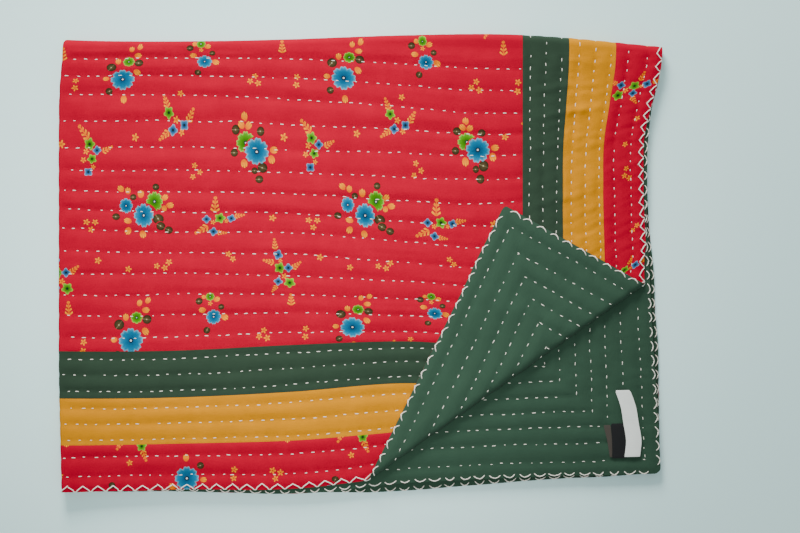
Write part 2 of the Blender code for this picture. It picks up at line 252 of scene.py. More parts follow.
# The print's repeat in mm, its lean, where it lies on the floral strips, and its motifs
REPEAT = (312.0, 357.0)
LEAN = math.radians(2)
LONG_PIN = Pin(x=0.087, y=0.070, u=0.180, down=0.619)
END_PIN = Pin(x=0.306, y=0.341, u=0.805, down=0.069)
MOTIFS = (
    Motif(87, 70, {
        Kind.LEAF: (Stamp(-16, -22, 8.0, 310), Stamp(23, -28, 7.1, 10), Stamp(-19, 18, 5.7, 160)),
        Kind.BUD: (
            Stamp(14, -52, 5.4, 280), Stamp(26, -55, 5.4, 300), Stamp(23, -41, 6.1),
            Stamp(-6, -33, 5.9, 270), Stamp(21, -11, 6.6, 55), Stamp(-24, -2, 5.4, 180),
            Stamp(1, 30, 6.1, 85),
        ),
        Kind.BLOOM: (Stamp(9, -31, 8.9, 0, Tint.GREEN), Stamp(0, 0, 18.2)),
    }),
    Motif(156, 120, {
        Kind.SPRIG: (Stamp(-9, -17, 8.8, 250), Stamp(26, 0, 9.4, 300), Stamp(-13, 22, 8.8, 145)),
        Kind.STAR: (
            Stamp(5, 5, 4.5), Stamp(12, 19, 4.2, 30), Stamp(12, -26, 4.5, 10), Stamp(-53, 22, 4.9),
        ),
        Kind.BLOSSOM: (Stamp(-5, -3, 7.5, 20, Tint.GREEN), Stamp(16, 11, 6.6, 45), Stamp(0, 16, 6.8, 10)),
    }),
    Motif(202, 39, {
        Kind.LEAF: (Stamp(13, -9, 4.9), Stamp(-18, -19, 5.7), Stamp(-8, 23, 5.4, 120)),
        Kind.BUD: (
            Stamp(8, -21, 5.4, 335), Stamp(18, 7, 6.4, 40), Stamp(-14, -6, 5.9, 185),
            Stamp(-11, -25, 4.2, 190),
        ),
        Kind.STAR: (Stamp(-2, -15, 3.5),),
        Kind.BLOOM: (Stamp(-2, -25, 6.8, 0, Tint.GREEN), Stamp(2, 5, 11.4)),
    }),
    Motif(45, 163, {
        Kind.SPRIG: (Stamp(-14, -30, 10.4, 228), Stamp(19, -9, 8.2, 335)),
        Kind.STAR: (Stamp(-11, -7, 4.2), Stamp(-15, 4, 4.2, 20), Stamp(-2, 14, 3.5)),
        Kind.BLOSSOM: (
            Stamp(-6, -16, 7.8, 0, Tint.GREEN), Stamp(4, -8, 6.1), Stamp(-3, 3, 6.8, 30, Tint.GREEN),
            Stamp(-9, 21, 6.8, 45),
        ),
    }),
    Motif(269, 159, {
        Kind.LEAF: (
            Stamp(-25, -22, 6.4), Stamp(10, -20, 6.1), Stamp(-28, 5, 5.9), Stamp(11, 25, 7.8, 20),
            Stamp(0, 29, 5.2), Stamp(6, 41, 6.4),
        ),
        Kind.BUD: (
            Stamp(-12, -37, 6.4, 270), Stamp(-17, -28, 6.1, 225), Stamp(-6, -27, 6.1, 315),
            Stamp(29, 2, 6.6), Stamp(25, 15, 6.8, 75), Stamp(-14, 20, 6.8, 85),
        ),
        Kind.STAR: (Stamp(43, -13, 5.2),),
        Kind.BLOOM: (Stamp(-11, -7, 14.2, 0, Tint.GREEN), Stamp(4, 4, 18.2, 10)),
    }),
    Motif(272, 75, {
        Kind.SPRIG: (Stamp(42, -53, 10.6, 270),),
        Kind.STAR: (
            Stamp(2, -6, 4.5), Stamp(-5, 2, 4.7, 20), Stamp(6, 5, 4.9, 40), Stamp(61, -5, 4.7, 10),
            Stamp(60, 7, 4.9, 30),
        ),
    }),
    Motif(109, 247, {
        Kind.LEAF: (
            Stamp(20, -39, 5.4), Stamp(-12, -25, 5.2), Stamp(-37, 5, 6.1), Stamp(22, 8, 8.7, 60),
            Stamp(25, 19, 7.1, 30), Stamp(36, 25, 6.4, 25),
        ),
        Kind.BUD: (
            Stamp(-29, -38, 6.1, 225), Stamp(-19, -35, 5.7, 265), Stamp(-1, -30, 6.6, 270),
            Stamp(33, -24, 5.9, 310), Stamp(40, -12, 6.4, 350), Stamp(31, -7, 5.2, 100),
            Stamp(-21, 11, 6.4, 200), Stamp(-21, 27, 6.6, 115), Stamp(0, 32, 6.4, 80),
        ),
        Kind.BLOOM: (
            Stamp(18, -18, 15.6, 0, Tint.GREEN, 0.80), Stamp(-22, -12, 12.4, 0, Tint.BLUE, 0.80),
            Stamp(2, 3, 19.4, 0, Tint.BLUE, 0.76),
        ),
    }),
    Motif(216, 263, {
        Kind.SPRIG: (
            Stamp(-4, -28, 12.4, 274), Stamp(30, -10, 7.8, 352), Stamp(-25, 10, 11.2, 152),
            Stamp(4, 15, 7.3, 6),
        ),
        Kind.STAR: (
            Stamp(-8, -1, 3.8), Stamp(11, -2, 3.1), Stamp(-31, -83, 4.2), Stamp(-24, -74, 4.2),
            Stamp(-34, -68, 4.2, 20), Stamp(76, -5, 5.4),
        ),
        Kind.BLOSSOM: (
            Stamp(-17, -6, 6.4), Stamp(2, -7, 8.2, 0, Tint.GREEN), Stamp(18, -6, 6.4, 20),
            Stamp(-8, 13, 6.6, 10),
        ),
    }),
    Motif(40, 266, {
        Kind.STAR: (
            Stamp(3, -5, 4.7, 20), Stamp(-9, -5, 4.9), Stamp(-3, 6, 4.7), Stamp(5, 48, 4.9),
            Stamp(47, 61, 4.7),
        ),
    }),
    Motif(136, 323, {
        Kind.STAR: (
            Stamp(8, -4, 4.9, 20), Stamp(-9, 1, 4.5), Stamp(2, 4, 4.7, 40), Stamp(92, -14, 4.5),
            Stamp(98, -7, 4.5, 20),
        ),
    }),
    Motif(306, 336, {
        Kind.SPRIG: (
            Stamp(-12, -40, 8.0, 265), Stamp(-22, -16, 8.5, 195), Stamp(18, -11, 8.2, 322),
            Stamp(-15, 25, 6.8, 125),
        ),
        Kind.STAR: (Stamp(0, 5, 4.5), Stamp(-5, -17, 3.1)),
        Kind.BLOSSOM: (
            Stamp(-8, -25, 7.1, 20), Stamp(-6, -7, 8.2, 0, Tint.GREEN), Stamp(6, -7, 6.4),
            Stamp(-9, 13, 6.6, 10), Stamp(7, 15, 8.5, 20, Tint.GREEN),
        ),
    }),
)


def eased(x: Numbers) -> Numbers:
    """0 below 0, 1 above 1 and a smooth step between them."""
    x = np.clip(x, 0, 1)
    return x * x * (3 - 2 * x)


def to_edges(u: Numbers, v: Numbers) -> tuple[Numbers, Numbers]:
    """How far flat places lie from the nearer end and from the nearer side."""
    return HALF_LENGTH - np.abs(u), HALF_WIDTH - np.abs(v)


def ring_at(u: Numbers, v: Numbers) -> Numbers:
    """The number of the Ring that holds each flat place."""
    return np.minimum(np.floor(np.minimum(*to_edges(u, v)) / BAND), Ring.CENTRE)


def span(x: Numbers, places: Numbers) -> Numbers:
    """The number of the span between two of the places, in rising order, that holds each x."""
    return np.clip(np.searchsorted(places, x, side="right") - 1, 0, len(places) - 2)


def cubic(t: Numbers, step: Numbers, values: Sequence[Numbers], slopes: Sequence[Numbers]) -> Numbers:
    """A smooth curve over one span.

    Args:
        t: The share of the span that lies behind.
        step: The span's length.
        values: The values at its start and its end.
        slopes: The slopes there.

    Returns:
        The curve at t.
    """
    return (
        (2 * t**3 - 3 * t**2 + 1) * values[0]
        + (t**3 - 2 * t**2 + t) * step * slopes[0]
        + (3 * t**2 - 2 * t**3) * values[1]
        + (t**3 - t**2) * step * slopes[1]
    )


def curve(x: Numbers, places: Numbers, values: Numbers) -> Numbers:
    """A smooth curve through some values.

    Args:
        x: Where the curve is wanted.
        places: Where the values are, in rising order.
        values: The values, with a second axis for several curves at once.

    Returns:
        The curve at x, held at its ends, with the values' second axis.
    """
    x = np.clip(x, places[0], places[-1])
    i = span(x, places)
    step = places[i + 1] - places[i]
    t = (x - places[i]) / step
    slope = np.gradient(values, places, axis=0)
    if values.ndim == 2:
        step, t = step[:, None], t[:, None]
    return cubic(t, step, (values[i], values[i + 1]), (slope[i], slope[i + 1]))


class Noise:
    """Smooth random values from -1 to 1 over a plane, the same in every run."""

    SIZE = 256

    def __init__(self, seed: int) -> None:
        """Draws the values at whole places."""
        self.values = np.random.default_rng(seed).uniform(-1, 1, (self.SIZE, self.SIZE))

    def __call__(self, x: Numbers, y: Numbers) -> Numbers:
        """Reads the plane.

        Args:
            x: Places one way, where whole numbers are one value apart.
            y: Places the other way.

        Returns:
            The values there.
        """
        i, j = np.floor(x).astype(int), np.floor(y).astype(int)
        s, t = eased(x - i), eased(y - j)
        i, j = i % self.SIZE, j % self.SIZE
        near, far = (i + 1) % self.SIZE, (j + 1) % self.SIZE
        upper = self.values[i, j] * (1 - s) + self.values[near, j] * s
        lower = self.values[i, far] * (1 - s) + self.values[near, far] * s
        return upper * (1 - t) + lower * t


@dataclass
class FoldedCloth:
    """The way the quilt lies: where each point of the flat quilt is in the pile."""

    puff: float = 0.0018
    half_pitch: float = 0.0020
    fold_puff: float = 0.0014
    puff_reach: float = 0.060
    roll: float = 0.0037
    settle: float = 0.063
    ease: float = 0.050
    bite: float = 0.0011
    bite_reach: float = 0.006
    wave: float = 0.0009
    wave_length: float = 0.055
    corner: float = 0.009
    turned_corner: float = 0.004
    crease_fade: float = 0.03
    turned_along: float = 0.435
    turned_across: float = 0.235
    crease_start: tuple[float, float] = (0.418, 0.613)
    crease_end: tuple[float, float] = (0.8204, 0.328)
    corner_at: tuple[float, float] = (0.6217, 0.2232)
    centre: tuple[float, float] = (0.4197, 0.3058)
    wobble: Noise = field(default_factory=lambda: Noise(3))

    def __post_init__(self) -> None:
        """Works out the crease on the flat and in the pile."""
        start = np.array([HALF_LENGTH - self.turned_along, HALF_WIDTH])
        end = np.array([HALF_LENGTH, HALF_WIDTH - self.turned_across])
        length = np.linalg.norm(end - start)
        self.flat_start = start
        self.along = (end - start) / length
        self.outward = np.array([-self.along[1], self.along[0]])
        self.start = np.array(self.crease_start)
        self.run = (np.array(self.crease_end) - self.start) / length
        self.side = np.array([-self.run[1], self.run[0]]) / np.linalg.norm(self.run)
        corner = np.array([HALF_LENGTH, HALF_WIDTH]) - start
        foot = self.start + self.run * (corner @ self.along)
        self.turned = (np.array(self.corner_at) - foot) / (corner @ self.outward - math.pi * self.roll)

    @staticmethod
    def column(name: str, across: Numbers) -> Numbers:
        """A value of COLUMNS at the distance across from the end fold."""
        return curve(across, ACROSS, np.array([getattr(row, name) for row in COLUMNS]))

    @staticmethod
    def course(name: str, down: Numbers) -> Numbers:
        """A value of COURSES at the distance down from the side fold."""
        return curve(down, DOWN, np.array([getattr(row, name) for row in COURSES]))

    @staticmethod
    def sag(across: Numbers, down: Numbers) -> Numbers:
        """How far the top layer lies below its square place.

        Args:
            across: Flat distances from the end fold.
            down: Flat distances from the side fold.

        Returns:
            The distances towards -Y.
        """
        i = span(down, DOWN)
        rows = curve(across, ACROSS, SAGS.T)
        slopes = np.gradient(rows, DOWN, axis=1)
        at = np.arange(len(rows))
        step = DOWN[i + 1] - DOWN[i]
        t = np.clip((down - DOWN[i]) / step, 0, 1)
        return cubic(t, step, (rows[at, i], rows[at, i + 1]), (slopes[at, i], slopes[at, i + 1]))

    def past_crease(self, u: Numbers, v: Numbers) -> Numbers:
        """How far a flat point of any layer lies beyond the crease's line, towards the corner."""
        across, down = np.abs(u) - self.flat_start[0], np.abs(v) - self.flat_start[1]
        return across * self.outward[0] + down * self.outward[1]

    def drawn_in(self, place: Numbers, depth: Numbers, seed: float) -> Numbers:
        """How far the edge thread's bites and the waves of the cut draw the cloth in.

        Args:
            place: Where along the edge.
            depth: How far from the edge.
            seed: The row of the wobble that the waves are taken from.

        Returns:
            The distances in metres.
        """
        bite = np.cos(2 * math.pi * place / ZIGZAG) ** 2 * np.cos(math.pi * place / ZIGZAG) ** 4
        wave = self.wave * self.wobble(place / self.wave_length, np.full_like(place, seed))
        return (self.bite * bite + wave) * np.exp(-np.maximum(depth, 0) / self.bite_reach)

    def bitten(self, u: Numbers, v: Numbers) -> tuple[Numbers, Numbers]:
        """Moves flat points in at the round corners and where the edge thread bites into the cut edges.

        Args:
            u: Their places along the quilt.
            v: Their places across it.

        Returns:
            The places that they move to.
        """
        corner = np.where((u > 0) & (v < 0), self.turned_corner, self.corner)
        to_ends, to_sides = to_edges(u, v)
        p = np.maximum(1 - to_ends / corner, 0)
        q = np.maximum(1 - to_sides / corner, 0)
        least = 0.3
        u = u - np.sign(u) * corner * p * (1 - np.sqrt(np.maximum(1 - q * q / 2, least)))
        v = v - np.sign(v) * corner * q * (1 - np.sqrt(np.maximum(1 - p * p / 2, least)))
        v = v - np.sign(v) * self.drawn_in(u, HALF_WIDTH - np.abs(v), 4.5)
        u = u - np.sign(u) * self.drawn_in(v, HALF_LENGTH - np.abs(u), 5.5)
        return u, v

    def place(self, u: Numbers, v: Numbers, n: Numbers) -> Numbers:
        """Where flat points lie in the pile.

        Args:
            u: Their places along the quilt.
            v: Their places across it.
            n: Their heights over the middle of its thickness, towards the pieced front.

        Returns:
            An array with a row of x, y and z for each point.
        """
        u, v = self.bitten(u, v)
        a = np.abs(u)
        from_fold = v - self.column("shift", a)
        b = np.abs(from_fold)
        fold_radius = self.half_pitch + self.fold_puff
        around_end = np.sign(u) * np.clip(a / fold_radius, 0, QUARTER)
        right = np.maximum(a - QUARTER * fold_radius, 0)
        end_half = self.half_pitch + self.fold_puff * np.exp(-right / self.puff_reach)
        radius = end_half + fold_radius
        around_side = -np.sign(from_fold) * np.clip(b / radius, 0, QUARTER)
        below = np.maximum(b - QUARTER * radius, 0)
        side_half = self.half_pitch + self.fold_puff * np.exp(-below / self.puff_reach)
        reach = end_half + side_half + (end_half + n) * np.sin(around_end)
        middle = self.puff + 2 * end_half + side_half
        x = right - (end_half + n) * np.cos(around_end)
        y = below - reach * np.cos(around_side)
        z = middle + reach * np.sin(around_side)

        upper = (1 + np.sin(around_side)) / 2
        outer = (1 + np.sin(around_end)) / 2
        share = {
            "first": upper * outer,
            "second": upper * (1 - outer),
            "third": (1 - upper) * (1 - outer),
            "fourth": (1 - upper) * outer,
        }
        down = np.abs(v)
        at_end = np.clip((a - (HALF_LENGTH - BORDER)) / BORDER, 0, 1)
        at_fold = np.clip(1 - a / ACROSS[1], 0, 1)
        at_edge = down / HALF_WIDTH
        x = x + self.course("left", down) * at_fold
        top_sag = self.sag(a, np.zeros_like(a))
        fold_sag = self.sag(np.zeros_like(a), down)
        for layer, part in share.items():
            x = x + part * self.course(layer, down) * at_end
            if layer == "first":
                y = y + part * self.sag(a, down)
                continue
            sag = top_sag * (1 - at_edge) + self.column(layer, a) * at_edge
            if layer == "second":
                sag = sag + (fold_sag - sag) * at_fold
            y = y + part * sag

        s = np.where((u > 0) & (v < 0), self.past_crease(u, v), -1.0)
        before = np.minimum(s, 0)
        t = (a - self.flat_start[0]) * self.along[0] + (down - self.flat_start[1]) * self.along[1]
        soft = sum(crease.ridge(a, down) for crease in TOP_CREASES)
        z = z + share["first"] * soft * eased(-s / self.crease_fade)
        straight = np.clip(1 + s / self.ease, 0, 1)
        x = x * (1 - straight) + straight * (self.start[0] + t * self.run[0] + before * self.side[0])
        y = y * (1 - straight) + straight * (self.start[1] + t * self.run[1] + before * self.side[1])
        layer_height = middle + 2 * end_half + side_half
        angle = np.clip(s / self.roll, 0, math.pi)
        past = np.maximum(s - math.pi * self.roll, 0)
        settled = (self.roll - self.half_pitch) * (1 + np.cos(math.pi * np.clip(past / self.settle, 0, 1)))
        turned = np.where(s > 0, (self.roll - n) * np.sin(angle), 0)
        x = np.where(s > 0, x + self.side[0] * turned + self.turned[0] * past, x)
        y = np.where(s > 0, y + self.side[1] * turned + self.turned[1] * past, y)
        z = np.where(s > 0, layer_height + self.roll - (self.roll - n) * np.cos(angle), z)
        over = layer_height + 2 * self.half_pitch + settled - n
        over = over + sum(crease.ridge(a, down) for crease in CORNER_CREASES)
        z = np.where(s > math.pi * self.roll, over, z)
        return np.stack([x - self.centre[0], self.centre[1] - y, z], axis=-1)


class Wave(NamedTuple):
    """An uneven relief: its height, and its lengths along the rows of stitching and over them, in metres."""

    height: float
    along: float
    over: float

    def at(
        self, noise: Noise, along: Numbers, over: Numbers, seeds: tuple[object, object] = (0, 0)
    ) -> Numbers:
        """Its height at flat places, from a part of the noise that the seeds choose."""
        return self.height * noise(along / self.along + seeds[0], over / self.over + seeds[1])


@dataclass
class Quilting:
    """The relief that the rows of stitching draw into the cloth."""

    cloth: FoldedCloth
    row: float = 0.0006
    puff: float = 0.0028
    hidden_row: float = 0.00115
    hidden_puff: float = 0.0018
    edge: float = 0.00115
    edge_reach: float = 0.007
    least: float = 0.0005
    seam_depth: float = 0.0007
    seam_width: float = 0.0016
    pucker: float = 0.00048
    pucker_reach: float = 0.0034
    stray: Wave = Wave(0.0011, 0.09, 0.05)
    fine_stray: Wave = Wave(0.0004, 0.03, 0.03)
    ripple: Wave = Wave(0.00048, 0.0085, 0.055)
    fine_ripple: Wave = Wave(0.00022, 0.0045, 0.020)
    fold: Wave = Wave(0.0010, 0.019, 0.090)
    crease: Wave = Wave(0.00055, 0.11, 0.0085)
    fine_crease: Wave = Wave(0.000275, 0.05, 0.0045)
    border_crease: float = 0.6
    fold_fade: float = 0.02
    crease_fade: float = 0.004
    corner_fade: float = 0.012
    bay_reach: float = 0.07
    bay_fade: float = 0.03
    other_side: int = 40
    ripples: Noise = field(default_factory=lambda: Noise(7))
    creases: Noise = field(default_factory=lambda: Noise(11))
    wander: Noise = field(default_factory=lambda: Noise(17))

    def straying(self, u: Numbers, v: Numbers) -> Numbers:
        """How far the hand-sewn rows stray to one side at a flat place."""
        return self.stray.at(self.wander, u, v, (31, 0)) + self.fine_stray.at(self.wander, u, v, (0, 9))

    @staticmethod
    def phase(row: Numbers, side: Side) -> Numbers:
        """The place of a row's first stitch on a side, as a share of the pitch."""
        return np.mod(np.asarray(row) * 0.618, 1) + (0.5 if side is Side.REVERSE else 0)

    def open_to_view(self, u: Numbers, v: Numbers, side: Side) -> Numbers:
        """Finds where a side lies open: the top layer's front, the turned corner and the bay that it bares.

        Args:
            u: Flat places along the quilt.
            v: Flat places across it.
            side: The side.

        Returns:
            1 where it lies open and 0 where another layer lies on it, with a soft step between them.
        """
        past = self.cloth.past_crease(u, v)
        if side is Side.FRONT:
            return eased(u / self.fold_fade) * eased(-v / self.fold_fade) * eased(-past / self.crease_fade)
        corner = np.where((u > 0) & (v < 0), eased(past / self.corner_fade), 0)
        return corner + np.where((u < 0) & (v < 0), eased((past + self.bay_reach) / self.bay_fade), 0)

    @staticmethod
    def knots() -> Numbers:
        """Finds where the border lies lowest and highest, from the cut edge in.

        Returns:
            The depths in rising order: the edge and each row, which lie low, and a puff after each of them.
        """
        rows = np.array(BORDER_ROWS)
        puffs = [rows[0] / 2, *(rows[1:] + rows[:-1]) / 2, BORDER + FIELD_ROW / 2]
        return np.sort(np.concatenate([[0], rows, puffs]))

    def rippled(self, along: Numbers, over: Numbers, ring: Numbers, at_ends: Numbers, side: Side) -> Numbers:
        """The fine folds between the stitches.

        Args:
            along: Flat places along the rows.
            over: Flat places across them.
            ring: The number of the Ring that holds each place.
            at_ends: Which places lie in the bands along the quilt's ends.
            side: The side.

        Returns:
            Heights in metres, before they lessen towards the rows.
        """
        seed = self.other_side if side is Side.REVERSE else 0
        gold_end = at_ends & (ring == Ring.GOLD)
        gain = np.where(at_ends, 0.9, 0.6)
        if side is Side.FRONT:
            gain = np.where(gold_end, 2.2, np.where(at_ends, 1.4, 0.75))
        fold_gain = np.where(gold_end, 0.8, np.where(at_ends & (ring < Ring.CENTRE), 0.3, 0))
        ripple = self.ripple.at(self.ripples, along, over, (seed, ring * 13))
        ripple += self.fine_ripple.at(self.ripples, along, over, (0, seed))
        ripple += self.fold.at(self.ripples, along, over, (3, 71)) * fold_gain
        return gain * ripple

    def height(self, u: Numbers, v: Numbers, side: Side) -> Numbers:
        """The height of one side over the middle of the quilt's thickness.

        Args:
            u: Flat places along the quilt.
            v: Flat places across it.
            side: The side, whose height counts outwards.

        Returns:
            The heights in metres, all above 0.
        """
        to_ends, to_sides = to_edges(u, v)
        depth = np.minimum(to_ends, to_sides)
        in_border = depth < BORDER
        at_ends = in_border & (to_ends < to_sides)
        rows, knots = np.array(BORDER_ROWS), self.knots()
        place = np.where(in_border, depth, v) + self.straying(u, v)
        nearest = np.abs(place[:, None] - rows).argmin(1)
        field_row = np.round(place / FIELD_ROW)
        off = place - np.where(in_border, rows[nearest], field_row * FIELD_ROW)
        in_field = np.abs(off) / (FIELD_ROW / 2)
        fullness = np.where(in_border, np.interp(place, knots, np.arange(len(knots)) % 2), in_field)
        fullness = np.clip(fullness, 0, 1)
        open_here = self.open_to_view(u, v, side)
        row = self.hidden_row + (self.row - self.hidden_row) * open_here
        puff = self.hidden_puff + (self.puff - self.hidden_puff) * open_here
        height = row + (puff - row) * np.sin(QUARTER * fullness) ** 0.8

        along, over = np.where(at_ends, v, u), np.where(at_ends, u, v)
        phase = self.phase(np.where(in_border, nearest + FIRST_BORDER_ROW, field_row), side)
        swell = np.cos(2 * math.pi * (along / STITCH - phase))
        height -= open_here * self.pucker * np.exp(-((off / self.pucker_reach) ** 2)) * swell
        ring = np.where(in_border, np.floor(depth / BAND), Ring.CENTRE)
        height += open_here * self.rippled(along, over, ring, at_ends, side) * (0.35 + 0.65 * fullness)
        seed = self.other_side if side is Side.REVERSE else 0
        crease = self.crease.at(self.creases, along, over, (seed, 0))
        crease += self.fine_crease.at(self.creases, along, over)
        height += open_here * np.where(in_border, self.border_crease, 1.0) * crease
        if side is Side.FRONT:
            for seam in (BAND, 2 * BAND, BORDER):
                height -= open_here * self.seam_depth * np.exp(-(((depth - seam) / self.seam_width) ** 2))
        height = self.edge + (height - self.edge) * eased(depth / self.edge_reach)
        return np.maximum(height, self.least)


class FlatGrid(NamedTuple):
    """Lines of a flat grid, along and across the quilt."""

    u: Numbers
    v: Numbers


def lines(*stops: tuple[float, float, float]) -> Numbers:
    """Grid lines from spans of (start, end, widest step), each span divided evenly."""
    found = [np.linspace(a, b, max(1, math.ceil(abs(b - a) / step - 1e-9)) + 1) for a, b, step in stops]
    return np.unique(np.round(np.concatenate(found), 7))


def print_at(u: Numbers, v: Numbers, on_strips: bool) -> Numbers:
    """Where the print's own plane meets the flat quilt, in metres.

    Args:
        u: Flat places along the quilt.
        v: Flat places across it.
        on_strips: Whether they lie on the outermost band, whose strips are cut the other way round.

    Returns:
        Rows of x and y of the print.
    """
    down = -v
    if on_strips:
        long_strip = np.stack([LONG_PIN.x - (u - LONG_PIN.u), LONG_PIN.y - (down - LONG_PIN.down)], -1)
        end_strip = np.stack([END_PIN.x + (down - END_PIN.down), END_PIN.y - (u - END_PIN.u)], -1)
        to_ends, to_sides = to_edges(u, v)
        return np.where((to_ends < to_sides)[:, None], end_strip, long_strip)
    x = u * math.cos(LEAN) - down * math.sin(LEAN)
    return np.stack([x, u * math.sin(LEAN) + down * math.cos(LEAN)], -1)


def sheet_of(name: str, places: Numbers, faces: Numbers, sharp: float) -> bpy.types.Object:
    """A smooth mesh object.

    Args:
        name: Its name.
        places: Its vertices.
        faces: Its four-sided faces.
        sharp: The angle in degrees past which an edge stays sharp.

    Returns:
        The new object.
    """
    mesh = bpy.data.meshes.new(name)
    mesh.from_pydata(places.tolist(), [], faces.tolist())
    mesh.shade_smooth()
    mesh.set_sharp_from_angle(angle=math.radians(sharp))
    piece = bpy.data.objects.new(name, mesh)
    bpy.context.scene.collection.objects.link(piece)
    return piece


def add_map(piece: bpy.types.Object, name: str, flat: Numbers) -> None:
    """Gives a piece a UV map.

    Args:
        piece: The piece, whose inner vertices follow its outer ones in the same order.
        name: The map's name.
        flat: The flat places of the outer vertices.
    """
    mesh = piece.data
    corners = np.zeros(len(mesh.loops), int)
    mesh.loops.foreach_get("vertex_index", corners)
    layer = mesh.uv_layers.new(name=name)
    layer.data.foreach_set("uv", np.tile(flat, (2, 1))[corners].ravel())


def select_only(piece: bpy.types.Object) -> None:
    """Makes a piece the only selected one and the active one."""
    bpy.ops.object.select_all(action="DESELECT")
    piece.select_set(True)
    bpy.context.view_layer.objects.active = piece


def turn_outwards(merge: float = 0.0) -> None:
    """Makes the active piece's faces point outwards.

    Args:
        merge: The distance within which its vertices are joined first, or 0 for none.
    """
    bpy.ops.object.mode_set(mode="EDIT")
    bpy.ops.mesh.select_all(action="SELECT")
    if merge:
        bpy.ops.mesh.remove_doubles(threshold=merge)
    bpy.ops.mesh.normals_make_consistent(inside=False)
    bpy.ops.object.mode_set(mode="OBJECT")


@dataclass
class ClothPiece:
    """One cloth of the quilt as a thin closed sheet, cut flat and laid with the rest."""

    name: str
    quilting: Quilting
    grid: FlatGrid
    side: Side
    ring: Optional[Ring] = None
    inner: float = 0.00015
    sharp: float = 62

    def build(self) -> bpy.types.Object:
        """Cuts the cloth from its grid, thickens it and lays it in the pile.

        Returns:
            The new mesh object, with the UV maps "cloth" and "print" in metres.
        """
        u, v = np.meshgrid(self.grid.u, self.grid.v, indexing="ij")
        middle_u = (self.grid.u[1:] + self.grid.u[:-1]) / 2
        middle_v = (self.grid.v[1:] + self.grid.v[:-1]) / 2
        rings = ring_at(*np.meshgrid(middle_u, middle_v, indexing="ij"))
        kept = np.full(rings.shape, True) if self.ring is None else rings == self.ring
        i, j = np.nonzero(kept)
        across = len(self.grid.v)
        near, far = i * across + j, (i + 1) * across + j
        used, top = np.unique(np.stack([near, far, far + 1, near + 1], 1), return_inverse=True)
        top = top.reshape(-1, 4)
        count = len(used)
        padded = np.pad(kept, 1)
        walls = []
        for edge, (di, dj) in enumerate(((0, -1), (1, 0), (0, 1), (-1, 0))):
            rim = ~padded[i + 1 + di, j + 1 + dj]
            a, b = top[rim, edge], top[rim, (edge + 1) % 4]
            walls.append(np.stack([b, a, a + count, b + count], 1))
        faces = np.concatenate([top, top[:, ::-1] + count, *walls])
        u, v = u.ravel()[used], v.ravel()[used]
        outer = self.quilting.height(u, v, self.side)
        low = np.full_like(u, self.inner)
        high, low = (outer, low) if self.side is Side.FRONT else (-low, -outer)
        place = self.quilting.cloth.place
        piece = sheet_of(self.name, np.concatenate([place(u, v, high), place(u, v, low)]), faces, self.sharp)
        add_map(piece, "cloth", np.stack([u, v], -1))
        add_map(piece, "print", print_at(u, v, self.ring is Ring.FLORAL))
        return piece


@dataclass
class PiecedFront:
    """The printed centre and the three bands round it."""

    quilting: Quilting
    fine: float = 0.0031
    band_fine: float = 0.0029
    coarse: float = 0.018
    fold: float = 0.0019
    near_end_fold: float = 0.009
    near_side_fold: float = 0.024

    def grid(self, fine: float) -> FlatGrid:
        """Draws fine lines over the top layer, and wide ones where only other layers lie.

        Args:
            fine: The widest step between fine lines.

        Returns:
            The grid, with a line at each seam.
        """
        end, side = self.near_end_fold, self.near_side_fold
        seams = [HALF_LENGTH - ring * BAND for ring in (3, 2, 1, 0)]
        u = [(-b, -a, self.coarse) for a, b in zip(seams, seams[1:])]
        u += [(-seams[0], -end, self.coarse), (-end, end, self.fold), (end, seams[0], fine)]
        u += [(a, b, fine) for a, b in zip(seams, seams[1:])]
        seams = [HALF_WIDTH - ring * BAND for ring in (3, 2, 1, 0)]
        v = [(-b, -a, fine) for a, b in zip(seams, seams[1:])]
        v += [(-seams[0], -side, fine), (-side, side, self.fold), (side, seams[0], self.coarse)]
        v += [(a, b, self.coarse) for a, b in zip(seams, seams[1:])]
        return FlatGrid(lines(*u), lines(*v))

    def build(self) -> dict[Ring, bpy.types.Object]:
        """Makes the four cloths.

        Returns:
            The centre and the three bands, from the middle outwards.
        """
        made = {}
        for ring in reversed(Ring):
            grid = self.grid(self.fine if ring is Ring.CENTRE else self.band_fine)
            made[ring] = ClothPiece(ring.cloth, self.quilting, grid, Side.FRONT, ring).build()
        return made


@dataclass
class Backing:
    """The plain reverse, fine where the turned corner bares it and round the folds."""

    quilting: Quilting
    fine: float = 0.0038
    coarse: float = 0.018
    bare_across: float = 0.39
    bare_down: float = 0.29
    end_reach: float = 0.009
    end_fold: float = 0.0016
    side_reach: float = 0.024
    side_fold: float = 0.0023

    def build(self) -> bpy.types.Object:
        """Makes the cloth.

        Returns:
            The backing.
        """
        bare, fold = self.bare_across, self.end_reach
        u = lines(
            (-HALF_LENGTH, -bare, self.fine), (-bare, -fold, self.coarse), (-fold, fold, self.end_fold),
            (fold, bare, self.coarse), (bare, HALF_LENGTH, self.fine),
        )
        bare, fold = self.bare_down, self.side_reach
        v = lines(
            (-HALF_WIDTH, -bare, self.fine), (-bare, -fold, self.coarse), (-fold, fold, self.side_fold),
            (fold, HALF_WIDTH, self.coarse),
        )
        return ClothPiece("backing_cloth", self.quilting, FlatGrid(u, v), Side.REVERSE).build()


class Row(NamedTuple):
    """A row of running stitch on the flat, with the number that sets where its first stitch lies."""

    start: tuple[float, float]
    end: tuple[float, float]
    number: int


